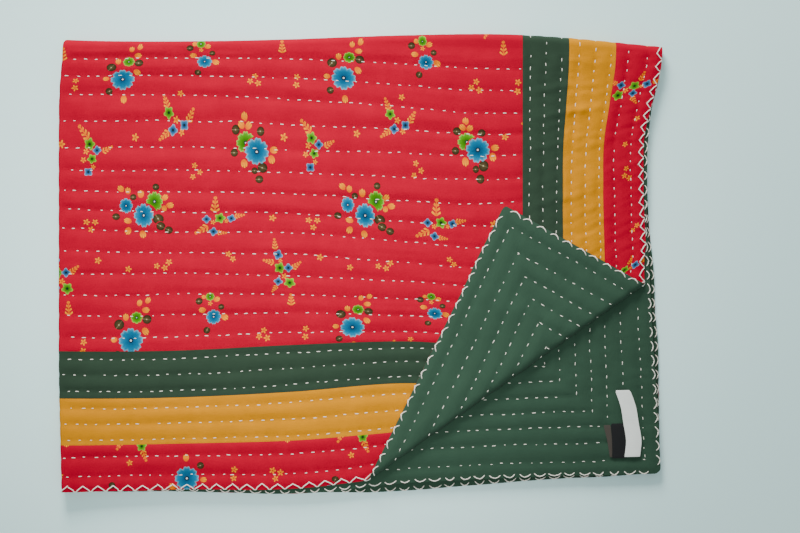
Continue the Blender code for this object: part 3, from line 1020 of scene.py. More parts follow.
@dataclass
class Threadwork:
    """Threads as round cords, all of one kind in one piece."""

    quilting: Quilting
    thread: float = 0.00058
    merge: float = 0.00002

    def lay(
        self, name: str, strokes: Sequence[Numbers], radii: Sequence[float], rounding: int
    ) -> bpy.types.Object:
        """Lays threads along points of the pile.

        Args:
            name: The new piece's name.
            strokes: The points of each thread.
            radii: The thread's radius at each point of a stroke, as a share of its full one.
            rounding: 0 for a thread with four sides, 1 for one with eight.

        Returns:
            All the threads as one closed mesh.
        """
        path = bpy.data.curves.new(name, "CURVE")
        path.dimensions = "3D"
        path.bevel_depth = self.thread
        path.bevel_resolution = rounding
        path.use_fill_caps = True
        for stroke in strokes:
            spline = path.splines.new("POLY")
            spline.points.add(len(stroke) - 1)
            spline.points.foreach_set("co", np.column_stack([stroke, np.ones(len(stroke))]).ravel())
            spline.points.foreach_set("radius", np.array(radii, float))
            spline.use_smooth = True
        piece = bpy.data.objects.new(name, path)
        bpy.context.scene.collection.objects.link(piece)
        select_only(piece)
        bpy.ops.object.convert(target="MESH")
        turn_outwards(self.merge)
        return bpy.context.view_layer.objects.active

    def under_pile(self, u: Numbers, v: Numbers, n: Numbers) -> Numbers:
        """Heights held down so far that the threads of the lowest layer don't pass the floor."""
        return np.where((u > 0) & (v > 0), np.minimum(n, self.quilting.cloth.puff - self.thread), n)


@dataclass
class RunningStitches(Threadwork):
    """The quilting rows: a short stitch in each pitch on each side, uneven as sewn by hand."""

    least_half: float = 0.0015
    most_half: float = 0.0032
    jitter: float = 0.13
    skew: float = 0.12
    wander: float = 0.0006
    skipped: float = 0.98
    short: float = -0.88
    short_share: float = 0.45
    from_end_fold: float = 0.006
    from_side_fold: float = 0.003
    from_seam: float = 0.004
    before_crease: float = 0.002
    past_crease: float = 0.004
    under_corner: float = 0.03
    labels_across: tuple[float, float] = (0.029, 0.079)
    labels_up: float = 0.078
    stations: tuple[float, ...] = (-1.0, -0.6, 0.0, 0.6, 1.0)
    rises: tuple[float, ...] = (-0.8, 0.35, 0.75, 0.35, -0.8)
    radii: tuple[float, ...] = (0.55, 0.95, 1.0, 0.95, 0.55)

    def rows(self, sign_u: int, sign_v: int) -> list[Row]:
        """Lists the rows of one layer.

        Args:
            sign_u: The sign of the layer's places along the quilt.
            sign_v: The sign of those across it.

        Returns:
            Its rows, those of the middle first.
        """
        found = []
        start, end = sign_u * self.from_end_fold, sign_u * (HALF_LENGTH - BORDER - self.from_seam)
        for number in range(1, int((HALF_WIDTH - BORDER) / FIELD_ROW) + 1):
            v = sign_v * number * FIELD_ROW
            found.append(Row((start, v), (end, v), sign_v * number))
        for number, depth in enumerate(BORDER_ROWS, FIRST_BORDER_ROW):
            u, v = sign_u * (HALF_LENGTH - depth), sign_v * (HALF_WIDTH - depth)
            found.append(Row((start, v), (u, v), number))
            found.append(Row((u, sign_v * self.from_side_fold), (u, v), number))
        return found

    def strokes(
        self, rows: Sequence[Row], side: Side, shown: Callable[[float, float], bool]
    ) -> list[Numbers]:
        """The stitches of some rows.

        Args:
            rows: The rows on the flat.
            side: The side that the stitches lie on.
            shown: Whether a flat place gets its stitch.

        Returns:
            The points of each stitch in the pile.
        """
        random = np.random.default_rng(23 + side.value)
        flat = []
        for row in rows:
            start, end = np.array(row.start), np.array(row.end)
            length = np.linalg.norm(end - start)
            run = (end - start) / length
            across = np.array([-run[1], run[0]])
            place = start @ np.abs(run)
            direction = np.sign(run.sum())
            phase = float(self.quilting.phase(row.number, side))
            first, last = sorted((place, place + direction * length))
            for count in range(math.ceil(first / STITCH - phase), math.floor(last / STITCH - phase) + 1):
                jitter, size, skew, stray, luck = random.uniform(-1, 1, 5)
                along = (count + phase + self.jitter * jitter) * STITCH
                middle = start + run * (along - place) * direction
                if luck > self.skipped or not shown(*middle):
                    continue
                half = self.least_half + (self.most_half - self.least_half) * (0.5 + 0.5 * size)
                half *= self.short_share if luck < self.short else 1
                line = run + across * self.skew * skew
                flat.append(middle + across * self.wander * stray + np.outer(self.stations, line * half))
        points = np.array(flat)
        u, v = points[..., 0].ravel(), points[..., 1].ravel()
        shift = self.quilting.straying(u, v)
        to_ends, to_sides = to_edges(u, v)
        in_border = np.minimum(to_ends, to_sides) < BORDER
        at_ends = in_border & (to_ends < to_sides)
        u = u + np.where(at_ends, np.sign(u) * shift, 0)
        v = v + np.where(at_ends, 0, np.where(in_border, np.sign(v), -1) * shift)
        rise = np.tile(self.rises, len(points)) * self.thread
        n = self.under_pile(u, v, (self.quilting.height(u, v, side) + rise) * side.value)
        return list(self.quilting.cloth.place(u, v, n).reshape(len(points), len(self.stations), 3))

    def on_top(self, u: float, v: float) -> bool:
        """Whether a stitch of the top layer's front shows here."""
        return self.quilting.cloth.past_crease(u, v) < self.before_crease

    def bared(self, u: float, v: float) -> bool:
        """Whether a stitch of the reverse shows, clear of the crease and of the two labels.

        Args:
            u: Its flat place along the quilt.
            v: Its flat place across it.

        Returns:
            True where it shows.
        """
        near, far = self.labels_across
        under_labels = near < u + HALF_LENGTH < far and v + HALF_WIDTH < self.labels_up
        least = self.past_crease if u > 0 else -self.under_corner
        return self.quilting.cloth.past_crease(u, v) > least and not under_labels

    def build(self) -> dict[str, bpy.types.Object]:
        """Sews the sides that lie open.

        Returns:
            The three pieces by name.
        """
        top = self.strokes(self.rows(1, -1), Side.FRONT, self.on_top)
        bare = self.strokes(self.rows(1, -1) + self.rows(-1, -1), Side.REVERSE, self.bared)
        under = self.strokes(self.rows(1, 1), Side.FRONT, lambda u, v: True)
        return {
            name: self.lay(name, strokes, self.radii, rounding)
            for name, strokes, rounding in (
                ("front_stitches", top, 1), ("reverse_stitches", bare, 1), ("underside_stitches", under, 0),
            )
        }


@dataclass
class EdgeThread(Threadwork):
    """The zigzag that overcasts the cut edges: whole on the front, a row of open V shapes on the reverse.

    A stroke has twelve points. The fields front and reverse say how much of each side's height a point has,
    and lift how far it lies above that, in radii of the thread.
    """

    front_depth: float = 0.0080
    reverse_depth: float = 0.0048
    reverse_reach: float = 0.0062
    wrap: float = 0.0022
    uneven: tuple[float, ...] = (0.0011, 0.0006, 0.0009, 0.0016)
    from_corner: float = 0.3
    thread: float = 0.00074
    front: tuple[float, ...] = (1, 1, 1, 1, 1, 1, 0.4, 0, 0, 0, 0, 0)
    reverse: tuple[float, ...] = (0, 0, 0, 0, 0, 0, 0, 0.7, 1, 1, 1, 1)
    lift: tuple[float, ...] = (-0.8, 0.7, 0.8, 0.8, 0.8, 0.1, 0, 0, -0.8, -0.8, -0.8, 0.8)
    radii: tuple[float, ...] = (0.7, 1, 1, 1, 1, 1, 1, 1, 1, 1, 1, 0.7)

    def stroke(self, bite: float, toward: int, random: np.random.Generator) -> Numbers:
        """One thread from its hole in the front, round the edge and up to its hole in the reverse.

        Args:
            bite: Where along the edge it goes round.
            toward: 1 or -1, the way that its front hole lies from there.
            random: The source of its unevenness.

        Returns:
            A row of places along the edge and a row of depths from the edge.
        """
        sizes = np.array([self.front_depth, self.wrap, self.reverse_depth, self.reverse_reach])
        deep, wrap, low, reach = sizes + np.array(self.uneven) * random.uniform(-1, 1, 4)
        half = ZIGZAG / 2
        back = wrap * 0.7
        away, depth = np.array([
            (half, deep),
            (half - 0.0006, deep - 0.0004),
            (half * 0.66, deep * 0.68),
            (half * 0.33, deep * 0.36),
            (wrap, 0.0009),
            (wrap * 0.6, -0.0006),
            (wrap * 0.2, -0.0009),
            (-wrap * 0.2, -0.0007),
            (-back, 0.0003),
            (-back - reach * 0.36, low * 0.30),
            (-back - reach * 0.76, low * 0.72),
            (-back - reach, low),
        ]).T
        return np.stack([bite + toward * away, depth])

    def build(self) -> bpy.types.Object:
        """Sews round all four cut edges.

        Returns:
            The thread as one piece.
        """
        random = np.random.default_rng(5)
        flat = []
        for at_end, (half, out) in enumerate(((HALF_LENGTH, HALF_WIDTH), (HALF_WIDTH, HALF_LENGTH))):
            most = math.floor(half / ZIGZAG - self.from_corner)
            for sign, count, toward in product((-1, 1), range(-most, most + 1), (-1, 1)):
                along, depth = self.stroke(count * ZIGZAG, toward, random)
                edge = sign * (out - depth)
                flat.append(np.stack([edge, along] if at_end else [along, edge], -1))
        u, v = np.concatenate(flat).T
        inside = np.clip(u, -HALF_LENGTH, HALF_LENGTH), np.clip(v, -HALF_WIDTH, HALF_WIDTH)
        shares = (self.front, self.reverse, self.lift)
        front, reverse, lift = (np.tile(share, len(flat)) for share in shares)
        n = front * self.quilting.height(*inside, Side.FRONT) + lift * self.thread
        n = self.under_pile(u, v, n - reverse * self.quilting.height(*inside, Side.REVERSE))
        strokes = list(self.quilting.cloth.place(u, v, n).reshape(len(flat), -1, 3))
        return self.lay("edge_thread", strokes, self.radii, 1)


@dataclass
class Ribbon:
    """A bare label: a folded ribbon sewn to the second layer's reverse, close to its cut edges.

    The field up holds distances from the lower cut edge, middle how far the ribbon's middle is from the right
    one at each, and lift its height there over the ground, the cloth that it lies on.
    """

    name: str
    width: float
    up: tuple[float, ...]
    middle: tuple[float, ...]
    lift: tuple[float, ...]
    cloth: FoldedCloth
    thick: float = 0.0009
    crown: float = 0.0008
    taper: float = 1.0
    ground: float = 0.0025
    pinch: float = 0.14
    pinch_reach: float = 0.0035
    thinning: float = 0.35
    thinning_reach: float = 0.0022
    step: float = 0.0016
    sharp: float = 50

    @property
    def flat(self) -> tuple[float, float]:
        """Its width and its length, laid flat."""
        return self.width, self.up[-1] - self.up[0]

    def build(self) -> bpy.types.Object:
        """Makes the ribbon as a thin closed sheet.

        Returns:
            The label.
        """
        places = np.array(self.up)
        grid = np.meshgrid(
            lines((self.up[0], self.up[-1], self.step)),
            lines((-self.width / 2, self.width / 2, self.step)), indexing="ij",
        )
        up, off = grid[0].ravel(), grid[1].ravel()
        to_start, to_end = up - self.up[0], self.up[-1] - up
        narrow = 1 - self.pinch * (1 - eased(to_end / self.pinch_reach))
        narrow = narrow * (self.taper + (1 - self.taper) * to_start / self.flat[1])
        u = -HALF_LENGTH + curve(up, places, np.array(self.middle)) + off * narrow
        v = -HALF_WIDTH + up
        lift = curve(up, places, np.array(self.lift)) + self.crown * (1 - (off / (self.width / 2)) ** 2)
        thinner = self.thinning * (1 - eased(np.minimum(to_start, to_end) / self.thinning_reach))
        low = -self.ground - lift
        high = low - self.thick * (1 - thinner)
        rows, across = grid[0].shape
        top = np.arange(rows * across).reshape(rows, across)
        quads = np.stack([top[:-1, :-1], top[1:, :-1], top[1:, 1:], top[:-1, 1:]], -1).reshape(-1, 4)
        count = rows * across
        rim = np.concatenate([top[:, 0], top[-1, 1:], top[-2::-1, -1], top[0, -2:0:-1]])
        following = np.roll(rim, -1)
        walls = np.stack([rim, following, following + count, rim + count], 1)
        faces = np.concatenate([quads, quads[:, ::-1] + count, walls[:, ::-1]])
        points = np.concatenate([self.cloth.place(u, v, high), self.cloth.place(u, v, low)])
        piece = sheet_of(self.name, points, faces, self.sharp)
        add_map(piece, "cloth", np.stack([off, up], -1))
        select_only(piece)
        turn_outwards()
        return piece


Colour = tuple[float, float, float, float]


def linear(code: str) -> Colour:
    """A colour such as "CC2236" as linear red, green, blue and alpha."""
    parts = [int(code[place : place + 2], 16) / 255 for place in (0, 2, 4)]
    return (*(part / 12.92 if part <= 0.04045 else ((part + 0.055) / 1.055) ** 2.4 for part in parts), 1.0)


Socket = bpy.types.NodeSocket


class Board:
    """Adds nodes to one shader tree and joins them."""

    def __init__(self, tree: bpy.types.NodeTree) -> None:
        """Starts on an empty or a new tree."""
        self.tree = tree

    def add(self, kind: str, inputs: Optional[dict] = None, **settings: object) -> bpy.types.Node:
        """Adds a node.

        Args:
            kind: The node's type, without ShaderNode.
            inputs: Values or sockets by the name or number of an input.
            **settings: The node's own settings.

        Returns:
            The new node.
        """
        node = self.tree.nodes.new("ShaderNode" + kind)
        for name, value in settings.items():
            setattr(node, name, value)
        for name, value in (inputs or {}).items():
            if isinstance(value, Socket):
                self.tree.links.new(value, node.inputs[name])
            else:
                node.inputs[name].default_value = value
        return node

    def math(self, operation: str, *values: object) -> Socket:
        """The result of a Math node."""
        return self.add("Math", dict(enumerate(values)), operation=operation).outputs[0]

    def vector(self, operation: str, *values: object) -> Socket:
        """The result of a Vector Math node."""
        node = self.add("VectorMath", dict(enumerate(values)), operation=operation)
        return node.outputs["Value" if operation in ("LENGTH", "DISTANCE") else "Vector"]

    def scaled(self, value: object, share: object) -> Socket:
        """A vector or a colour times a share."""
        given = value if isinstance(value, Socket) else value[:3]
        return self.add("VectorMath", {0: given, "Scale": share}, operation="SCALE").outputs["Vector"]

    def group(self, tree: bpy.types.NodeTree, **inputs: object) -> dict[str, Socket]:
        """The outputs of a node group that is given these inputs."""
        return self.add("Group", inputs, node_tree=tree).outputs

    def mix(self, share: object, first: object, second: object) -> Socket:
        """Two colours mixed."""
        return self.add("Mix", {0: share, 6: first, 7: second}, data_type="RGBA").outputs[2]

    def tones(self, share: Socket, pairs: Sequence[tuple[str, str]]) -> list[Socket]:
        """Each pair of colour codes mixed."""
        return [self.mix(share, linear(first), linear(second)) for first, second in pairs]

    def ramp(self, value: object, low: float, high: float, to_low: float = 0, to_high: float = 1) -> Socket:
        """A value taken from one range to another and held at its ends."""
        return self.add("MapRange", {0: value, 1: low, 2: high, 3: to_low, 4: to_high}).outputs[0]

    def within(self, value: object, limit: object) -> Socket:
        """1 where a value is below a limit."""
        return self.math("LESS_THAN", value, limit)

    def waves(self, value: Socket, count: object) -> Socket:
        """The cosine of a value times a count."""
        return self.math("COSINE", self.math("MULTIPLY", value, count))


class Group:
    """A node group under construction, with its board and its inputs and outputs."""

    def __init__(self, name: str, inputs: dict[str, str], outputs: dict[str, str]) -> None:
        """Makes the group.

        Args:
            name: Its name.
            inputs: The names of its inputs and their types, without NodeSocket.
            outputs: Those of its outputs.
        """
        self.tree = bpy.data.node_groups.new(name, "ShaderNodeTree")
        for in_out, sockets in (("INPUT", inputs), ("OUTPUT", outputs)):
            for socket, kind in sockets.items():
                self.tree.interface.new_socket(socket, in_out=in_out, socket_type="NodeSocket" + kind)
        self.board = Board(self.tree)
        self.given = self.tree.nodes.new("NodeGroupInput").outputs
        self.output = self.tree.nodes.new("NodeGroupOutput")

    def give(self, **sockets: Socket) -> None:
        """Joins the group's outputs."""
        for name, socket in sockets.items():
            self.tree.links.new(socket, self.output.inputs[name])


class Inside(NamedTuple):
    """Where a point lies in a drawing, counted from its middle, and 1 where the drawing's tint is green."""

    x: Socket
    y: Socket
    radius: Socket
    angle: Socket
    green: Socket


Drawn = tuple[Socket, Socket]

# The deep, the middle and the pale tone of petals, each as its blue and its green
BLOOM_TONES = (("0F4468", "265A0A"), ("146E94", "488C14"), ("74B2C4", "A6C45A"))
BLOSSOM_TONES = (("14305A", "24500A"), ("34648E", "52941A"), ("86A6C0", "A2BE44"))


@dataclass(frozen=True)
class Drawing:
    """How one kind of stamp is drawn inside a circle of radius 1, its top along +X."""

    kind: Kind

    def group(self) -> bpy.types.NodeTree:
        """Makes the node group that gives the drawing's colour and mask.

        Returns:
            A group from Place, whose z carries the tint, to Color and Mask.
        """
        made = Group("draw_" + self.kind.value, {"Place": "Vector"}, {"Color": "Color", "Mask": "Float"})
        board = made.board
        x, y, z = board.add("SeparateXYZ", {0: made.given["Place"]}).outputs
        radius = board.vector("LENGTH", board.add("CombineXYZ", {0: x, 1: y}).outputs[0])
        angle = board.math("ARCTAN2", y, x)
        green = board.math("GREATER_THAN", z, (Tint.BLUE.value + Tint.GREEN.value) / 2)
        color, mask = getattr(self, self.kind.value)(board, Inside(x, y, radius, angle, green))
        found = board.math("GREATER_THAN", z, Tint.BLUE.value / 2)
        made.give(Color=color, Mask=board.math("MULTIPLY", mask, found))
        return made.tree

    @staticmethod
    def bloom(board: Board, at: Inside) -> Drawn:
        """A large flower with a notched rim, rays and a dark heart.

        Args:
            board: The board that it is drawn on.
            at: Where a point lies in it.

        Returns:
            Its colour and its mask.
        """
        lobes, petals = board.waves(at.angle, 16.0), board.waves(at.angle, 8.0)
        rim = board.math("MULTIPLY_ADD", lobes, -0.05, board.math("MULTIPLY_ADD", petals, 0.06, 0.88))
        part = board.math("DIVIDE", at.radius, rim)
        rays = board.math("MULTIPLY", petals, -1.0)
        deep, body, pale = board.tones(at.green, BLOOM_TONES)
        color = board.mix(board.ramp(part, 0.15, 0.75), deep, body)
        shade = board.math("MULTIPLY", board.ramp(rays, 0.45, 1.0), board.ramp(part, 0.2, 0.9, 0.7, 0.0))
        color = board.mix(shade, color, deep)
        color = board.mix(board.ramp(part, 0.80, 1.0, 0.0, 0.7), color, pale)
        color = board.mix(board.within(at.radius, 0.17), color, linear("182A36"))
        color = board.mix(board.within(at.radius, 0.075), color, linear("D8CFD2"))
        return color, board.within(at.radius, rim)

    @staticmethod
    def blossom(board: Board, at: Inside) -> Drawn:
        """A small flower with four blue or five green petals.

        Args:
            board: The board that it is drawn on.
            at: Where a point lies in it.

        Returns:
            Its colour and its mask.
        """
        lobes = board.waves(at.angle, board.math("ADD", at.green, 4.0))
        rim = board.math("MULTIPLY_ADD", lobes, 0.15, 0.84)
        part = board.math("DIVIDE", at.radius, rim)
        deep, body, pale = board.tones(at.green, BLOSSOM_TONES)
        color = board.mix(board.ramp(part, 0.15, 0.6), deep, body)
        color = board.mix(board.ramp(part, 0.7, 1.0, 0.0, 0.8), color, pale)
        outwards = board.ramp(part, 0.3, 1.0, 0.75, 0.25)
        between = board.math("MULTIPLY", board.ramp(lobes, -0.2, -0.9), outwards)
        color = board.mix(between, color, deep)
        color = board.mix(board.within(at.radius, 0.2), color, linear("16261A"))
        return color, board.within(at.radius, rim)

    @staticmethod
    def star(board: Board, at: Inside) -> Drawn:
        """A tiny yellow flower with five pointed petals.

        Args:
            board: The board that it is drawn on.
            at: Where a point lies in it.

        Returns:
            Its colour and its mask.
        """
        rim = board.math("MULTIPLY_ADD", board.waves(at.angle, 5.0), 0.27, 0.72)
        color = board.mix(board.ramp(at.radius, 0.2, 0.85), linear("E06600"), linear("F29800"))
        color = board.mix(board.within(at.radius, 0.2), color, linear("A8641C"))
        return color, board.within(at.radius, rim)

    @staticmethod
    def bud(board: Board, at: Inside) -> Drawn:
        """A cup of three pointed petals.

        Args:
            board: The board that it is drawn on.
            at: Where a point lies in it.

        Returns:
            Its colour and its mask.
        """
        side = board.math("ABSOLUTE", at.y)
        tips = board.waves(side, 4 * math.pi)
        end = board.math("MULTIPLY_ADD", tips, 0.26, 0.66)
        along = board.math("DIVIDE", board.math("ADD", at.x, 0.10), 0.86)
        round_side = board.math("SQRT", board.math("SUBTRACT", 1.0, board.math("POWER", along, 2.0)))
        width = board.math("MULTIPLY", round_side, 0.66)
        mask = board.math("MULTIPLY", board.within(side, width), board.within(at.x, end))
        color = board.mix(board.ramp(at.x, -0.7, 0.6), linear("DC6200"), linear("F49E00"))
        folds = board.math("MULTIPLY", board.ramp(tips, -0.4, -1.0), board.ramp(at.x, -0.3, 0.4, 0.0, 0.8))
        return board.mix(folds, color, linear("B85C00")), mask

    @staticmethod
    def leaf(board: Board, at: Inside) -> Drawn:
        """A round dark leaf with a pale vein.

        Args:
            board: The board that it is drawn on.
            at: Where a point lies in it.

        Returns:
            Its colour and its mask.
        """
        rim = board.math("MULTIPLY_ADD", board.math("COSINE", at.angle), 0.08, 0.88)
        color = board.mix(board.ramp(at.radius, 0.2, 0.85), linear("4C4028"), linear("2E2A1A"))
        on_vein = board.within(board.math("ABSOLUTE", at.y), 0.07)
        vein = board.math("MULTIPLY", on_vein, board.ramp(at.x, -0.8, 0.5, 0.5, 0.2))
        color = board.mix(vein, color, linear("8C8462"))
        color = board.mix(board.within(at.radius, 0.12), color, linear("A39C7C"))
        return color, board.within(at.radius, rim)

    @staticmethod
    def sprig(board: Board, at: Inside) -> Drawn:
        """A stalk with pairs of leaflets.

        Args:
            board: The board that it is drawn on.
            at: Where a point lies in it.

        Returns:
            Its colour and its mask.
        """
        side = board.math("ABSOLUTE", at.y)
        slanted = board.math("MULTIPLY_ADD", side, -0.75, at.x)
        step = board.math("FRACT", board.math("MULTIPLY", slanted, 1.9))
        inside = board.within(side, board.ramp(at.x, -0.9, 0.95, 0.58, 0.16))
        leaflets = board.math("MULTIPLY", board.within(step, 0.56), inside)
        stalk = board.within(side, 0.07)
        mask = board.math("MULTIPLY", board.math("MAXIMUM", leaflets, stalk), board.within(at.radius, 0.97))
        return board.mix(board.ramp(side, 0.05, 0.5), linear("E06A00"), linear("F4A000")), mask


@dataclass(frozen=True)
class FloralPrint:
    """The flowers printed on the red cloth, charted over one repeat."""

    ground: str = "AE0029"

    @staticmethod
    def placed(kind: Kind) -> Iterator[tuple[float, float, Stamp]]:
        """The places of a kind's stamps that reach into the repeat, those of the neighbouring repeats too.

        Args:
            kind: The kind of stamp.

        Yields:
            The x and y of each, and its stamp, the last printed first within its motif.
        """
        width, height = REPEAT
        for motif in MOTIFS:
            for stamp in reversed(motif.stamps.get(kind, ())):
                for right, low in product((-width, 0.0, width), (-height, 0.0, height)):
                    x, y = motif.x + stamp.x + right, motif.y + stamp.y + low
                    reach = (width / 2 + stamp.radius, height / 2 + stamp.radius)
                    if abs(x - width / 2) < reach[0] and abs(y - height / 2) < reach[1]:
                        yield x, y, stamp

    def chart(self, kind: Kind) -> bpy.types.NodeTree:
        """Makes the node group that finds which stamp of a kind a place of the print lies in.

        A place that is found moves to the stamp's own coordinates and gets a height, so no other finds it.

        Args:
            kind: The kind of stamp.

        Returns:
            A group from Tile, in mm, to Place in the stamp. Its z carries the tint and is 0 outside them all.
        """
        made = Group("chart_" + kind.value, {"Tile": "Vector"}, {"Place": "Vector"})
        board = made.board
        place = made.given["Tile"]
        for x, y, stamp in self.placed(kind):
            here = board.within(board.vector("DISTANCE", place, (x, y, 0.0)), stamp.radius)
            inputs = {
                "Vector": place,
                "Location": (x, y, -stamp.tint.value),
                "Rotation": (0.0, 0.0, math.radians(stamp.turn)),
                "Scale": (stamp.radius * stamp.wide, stamp.radius, 1.0),
            }
            own = board.add("Mapping", inputs, vector_type="TEXTURE").outputs[0]
            place = board.add("Mix", {0: here, 4: place, 5: own}, data_type="VECTOR").outputs[1]
        made.give(Place=place)
        return made.tree

    def group(self) -> bpy.types.NodeTree:
        """Makes the node group of the whole print.

        Returns:
            A group from UV, in metres of the print's plane, to Color.
        """
        made = Group("floral_print", {"UV": "Vector"}, {"Color": "Color"})
        board = made.board
        in_mm = board.scaled(made.given["UV"], 1 / MM)
        tile = board.vector("WRAP", in_mm, (*REPEAT, 1.0), (0.0, 0.0, 0.0))
        color: object = linear(self.ground)
        for kind in Kind:
            place = board.group(self.chart(kind), Tile=tile)["Place"]
            drawn = board.group(Drawing(kind).group(), Place=place)
            color = board.mix(drawn["Mask"], color, drawn["Color"])
        made.give(Color=color)
        return made.tree


@dataclass(frozen=True)
class WovenGround:
    """What all the cloths share: uneven threads in the colour and the weave in the height."""

    mottle: float = 26.0
    slubs: tuple[float, float, float] = (60.0, 900.0, 1.0)

    def group(self) -> bpy.types.NodeTree:
        """Makes the shared node group.

        Returns:
            A group from UV, in metres of the flat cloth, and Pitch, the threads a metre, to Height and to
            Shade, which multiplies a colour.
        """
        outputs = {"Shade": "Float", "Height": "Float"}
        made = Group("woven_ground", {"UV": "Vector", "Pitch": "Float"}, outputs)
        board, flat = made.board, made.given["UV"]
        x, y, _ = board.add("SeparateXYZ", {0: board.scaled(flat, made.given["Pitch"])}).outputs
        warp, weft = (board.math("SINE", board.math("MULTIPLY", way, 2 * math.pi)) for way in (x, y))
        weave = board.math("MULTIPLY", warp, weft)
        soft = board.add("TexNoise", {"Vector": flat, "Scale": self.mottle, "Detail": 3.0}).outputs[0]
        long_threads = board.vector("MULTIPLY", flat, self.slubs)
        slub = board.add("TexNoise", {"Vector": long_threads, "Scale": 1.0, "Detail": 1.0}).outputs[0]
        soft, uneven = board.ramp(soft, 0.25, 0.75, 0.93, 1.06), board.ramp(slub, 0.2, 0.8, -0.035, 0.035)
        shade = board.math("MULTIPLY_ADD", weave, 0.03, board.math("ADD", soft, uneven))
        made.give(Shade=shade, Height=board.math("MULTIPLY_ADD", slub, 0.8, weave))
        return made.tree


class Surface:
    """A material under construction: a Principled shader and the board of its nodes."""

    def __init__(self, name: str, **values: object) -> None:
        """Makes the material.

        Args:
            name: Its name.
            **values: Values of the shader's inputs, with _ for each space of an input's name.
        """
        self.made = bpy.data.materials.new(name)
        self.made.use_nodes = True
        self.board = Board(self.made.node_tree)
        self.inputs = self.made.node_tree.nodes["Principled BSDF"].inputs
        for socket, value in values.items():
            self.inputs[socket.replace("_", " ")].default_value = value

    def colour(self, colour: Socket) -> None:
        """Joins a colour to the shader."""
        self.made.node_tree.links.new(colour, self.inputs["Base Color"])

    def relief(self, height: Socket, distance: float, strength: float) -> None:
        """Joins a height to the shader's normal."""
        bump = self.board.add("Bump", {"Height": height, "Distance": distance, "Strength": strength})
        self.made.node_tree.links.new(bump.outputs[0], self.inputs["Normal"])


@dataclass(frozen=True)
class Cotton:
    """A matt woven cotton, whose threads are counted a metre."""

    name: str
    colour: str
    ground: bpy.types.NodeTree
    printed: Optional[bpy.types.NodeTree] = None
    roughness: float = 0.9
    sheen: float = 0.03
    gloss: float = 0.12
    threads: float = 1450.0
    relief: float = 0.00011

    def material(self) -> bpy.types.Material:
        """Makes the material.

        Returns:
            A Principled material of the UV maps "cloth" and "print".
        """
        surface = Surface(
            self.name, Roughness=self.roughness, Sheen_Weight=self.sheen, Specular_IOR_Level=self.gloss
        )
        board = surface.board
        flat = board.add("UVMap", uv_map="cloth").outputs[0]
        ground = board.group(self.ground, UV=flat, Pitch=self.threads)
        color: object = linear(self.colour)
        if self.printed:
            color = board.group(self.printed, UV=board.add("UVMap", uv_map="print").outputs[0])["Color"]
        surface.colour(board.scaled(color, ground["Shade"]))
        surface.relief(ground["Height"], self.relief, 0.6)
        return surface.made


@dataclass(frozen=True)
class WovenTape(Cotton):
    """A close-woven smooth ribbon."""

    roughness: float = 0.5
    threads: float = 2600.0
    relief: float = 0.00005


@dataclass(frozen=True)
class ThreadFinish:
    """A soft twisted cotton thread."""

    name: str
    colour: str
    mottle: float = 900.0
    relief: float = 0.0002

    def material(self) -> bpy.types.Material:
        """Makes the material.

        Returns:
            A Principled material with a fine mottle.
        """
        surface = Surface(self.name, Roughness=0.75, Sheen_Weight=0.1)
        board = surface.board
        place = board.add("TexCoord").outputs["Object"]
        mottle = board.add("TexNoise", {"Vector": place, "Scale": self.mottle, "Detail": 2.0}).outputs[0]
        surface.colour(board.scaled(linear(self.colour), board.ramp(mottle, 0.3, 0.7, 0.86, 1.05)))
        surface.relief(mottle, self.relief, 0.5)
        return surface.made


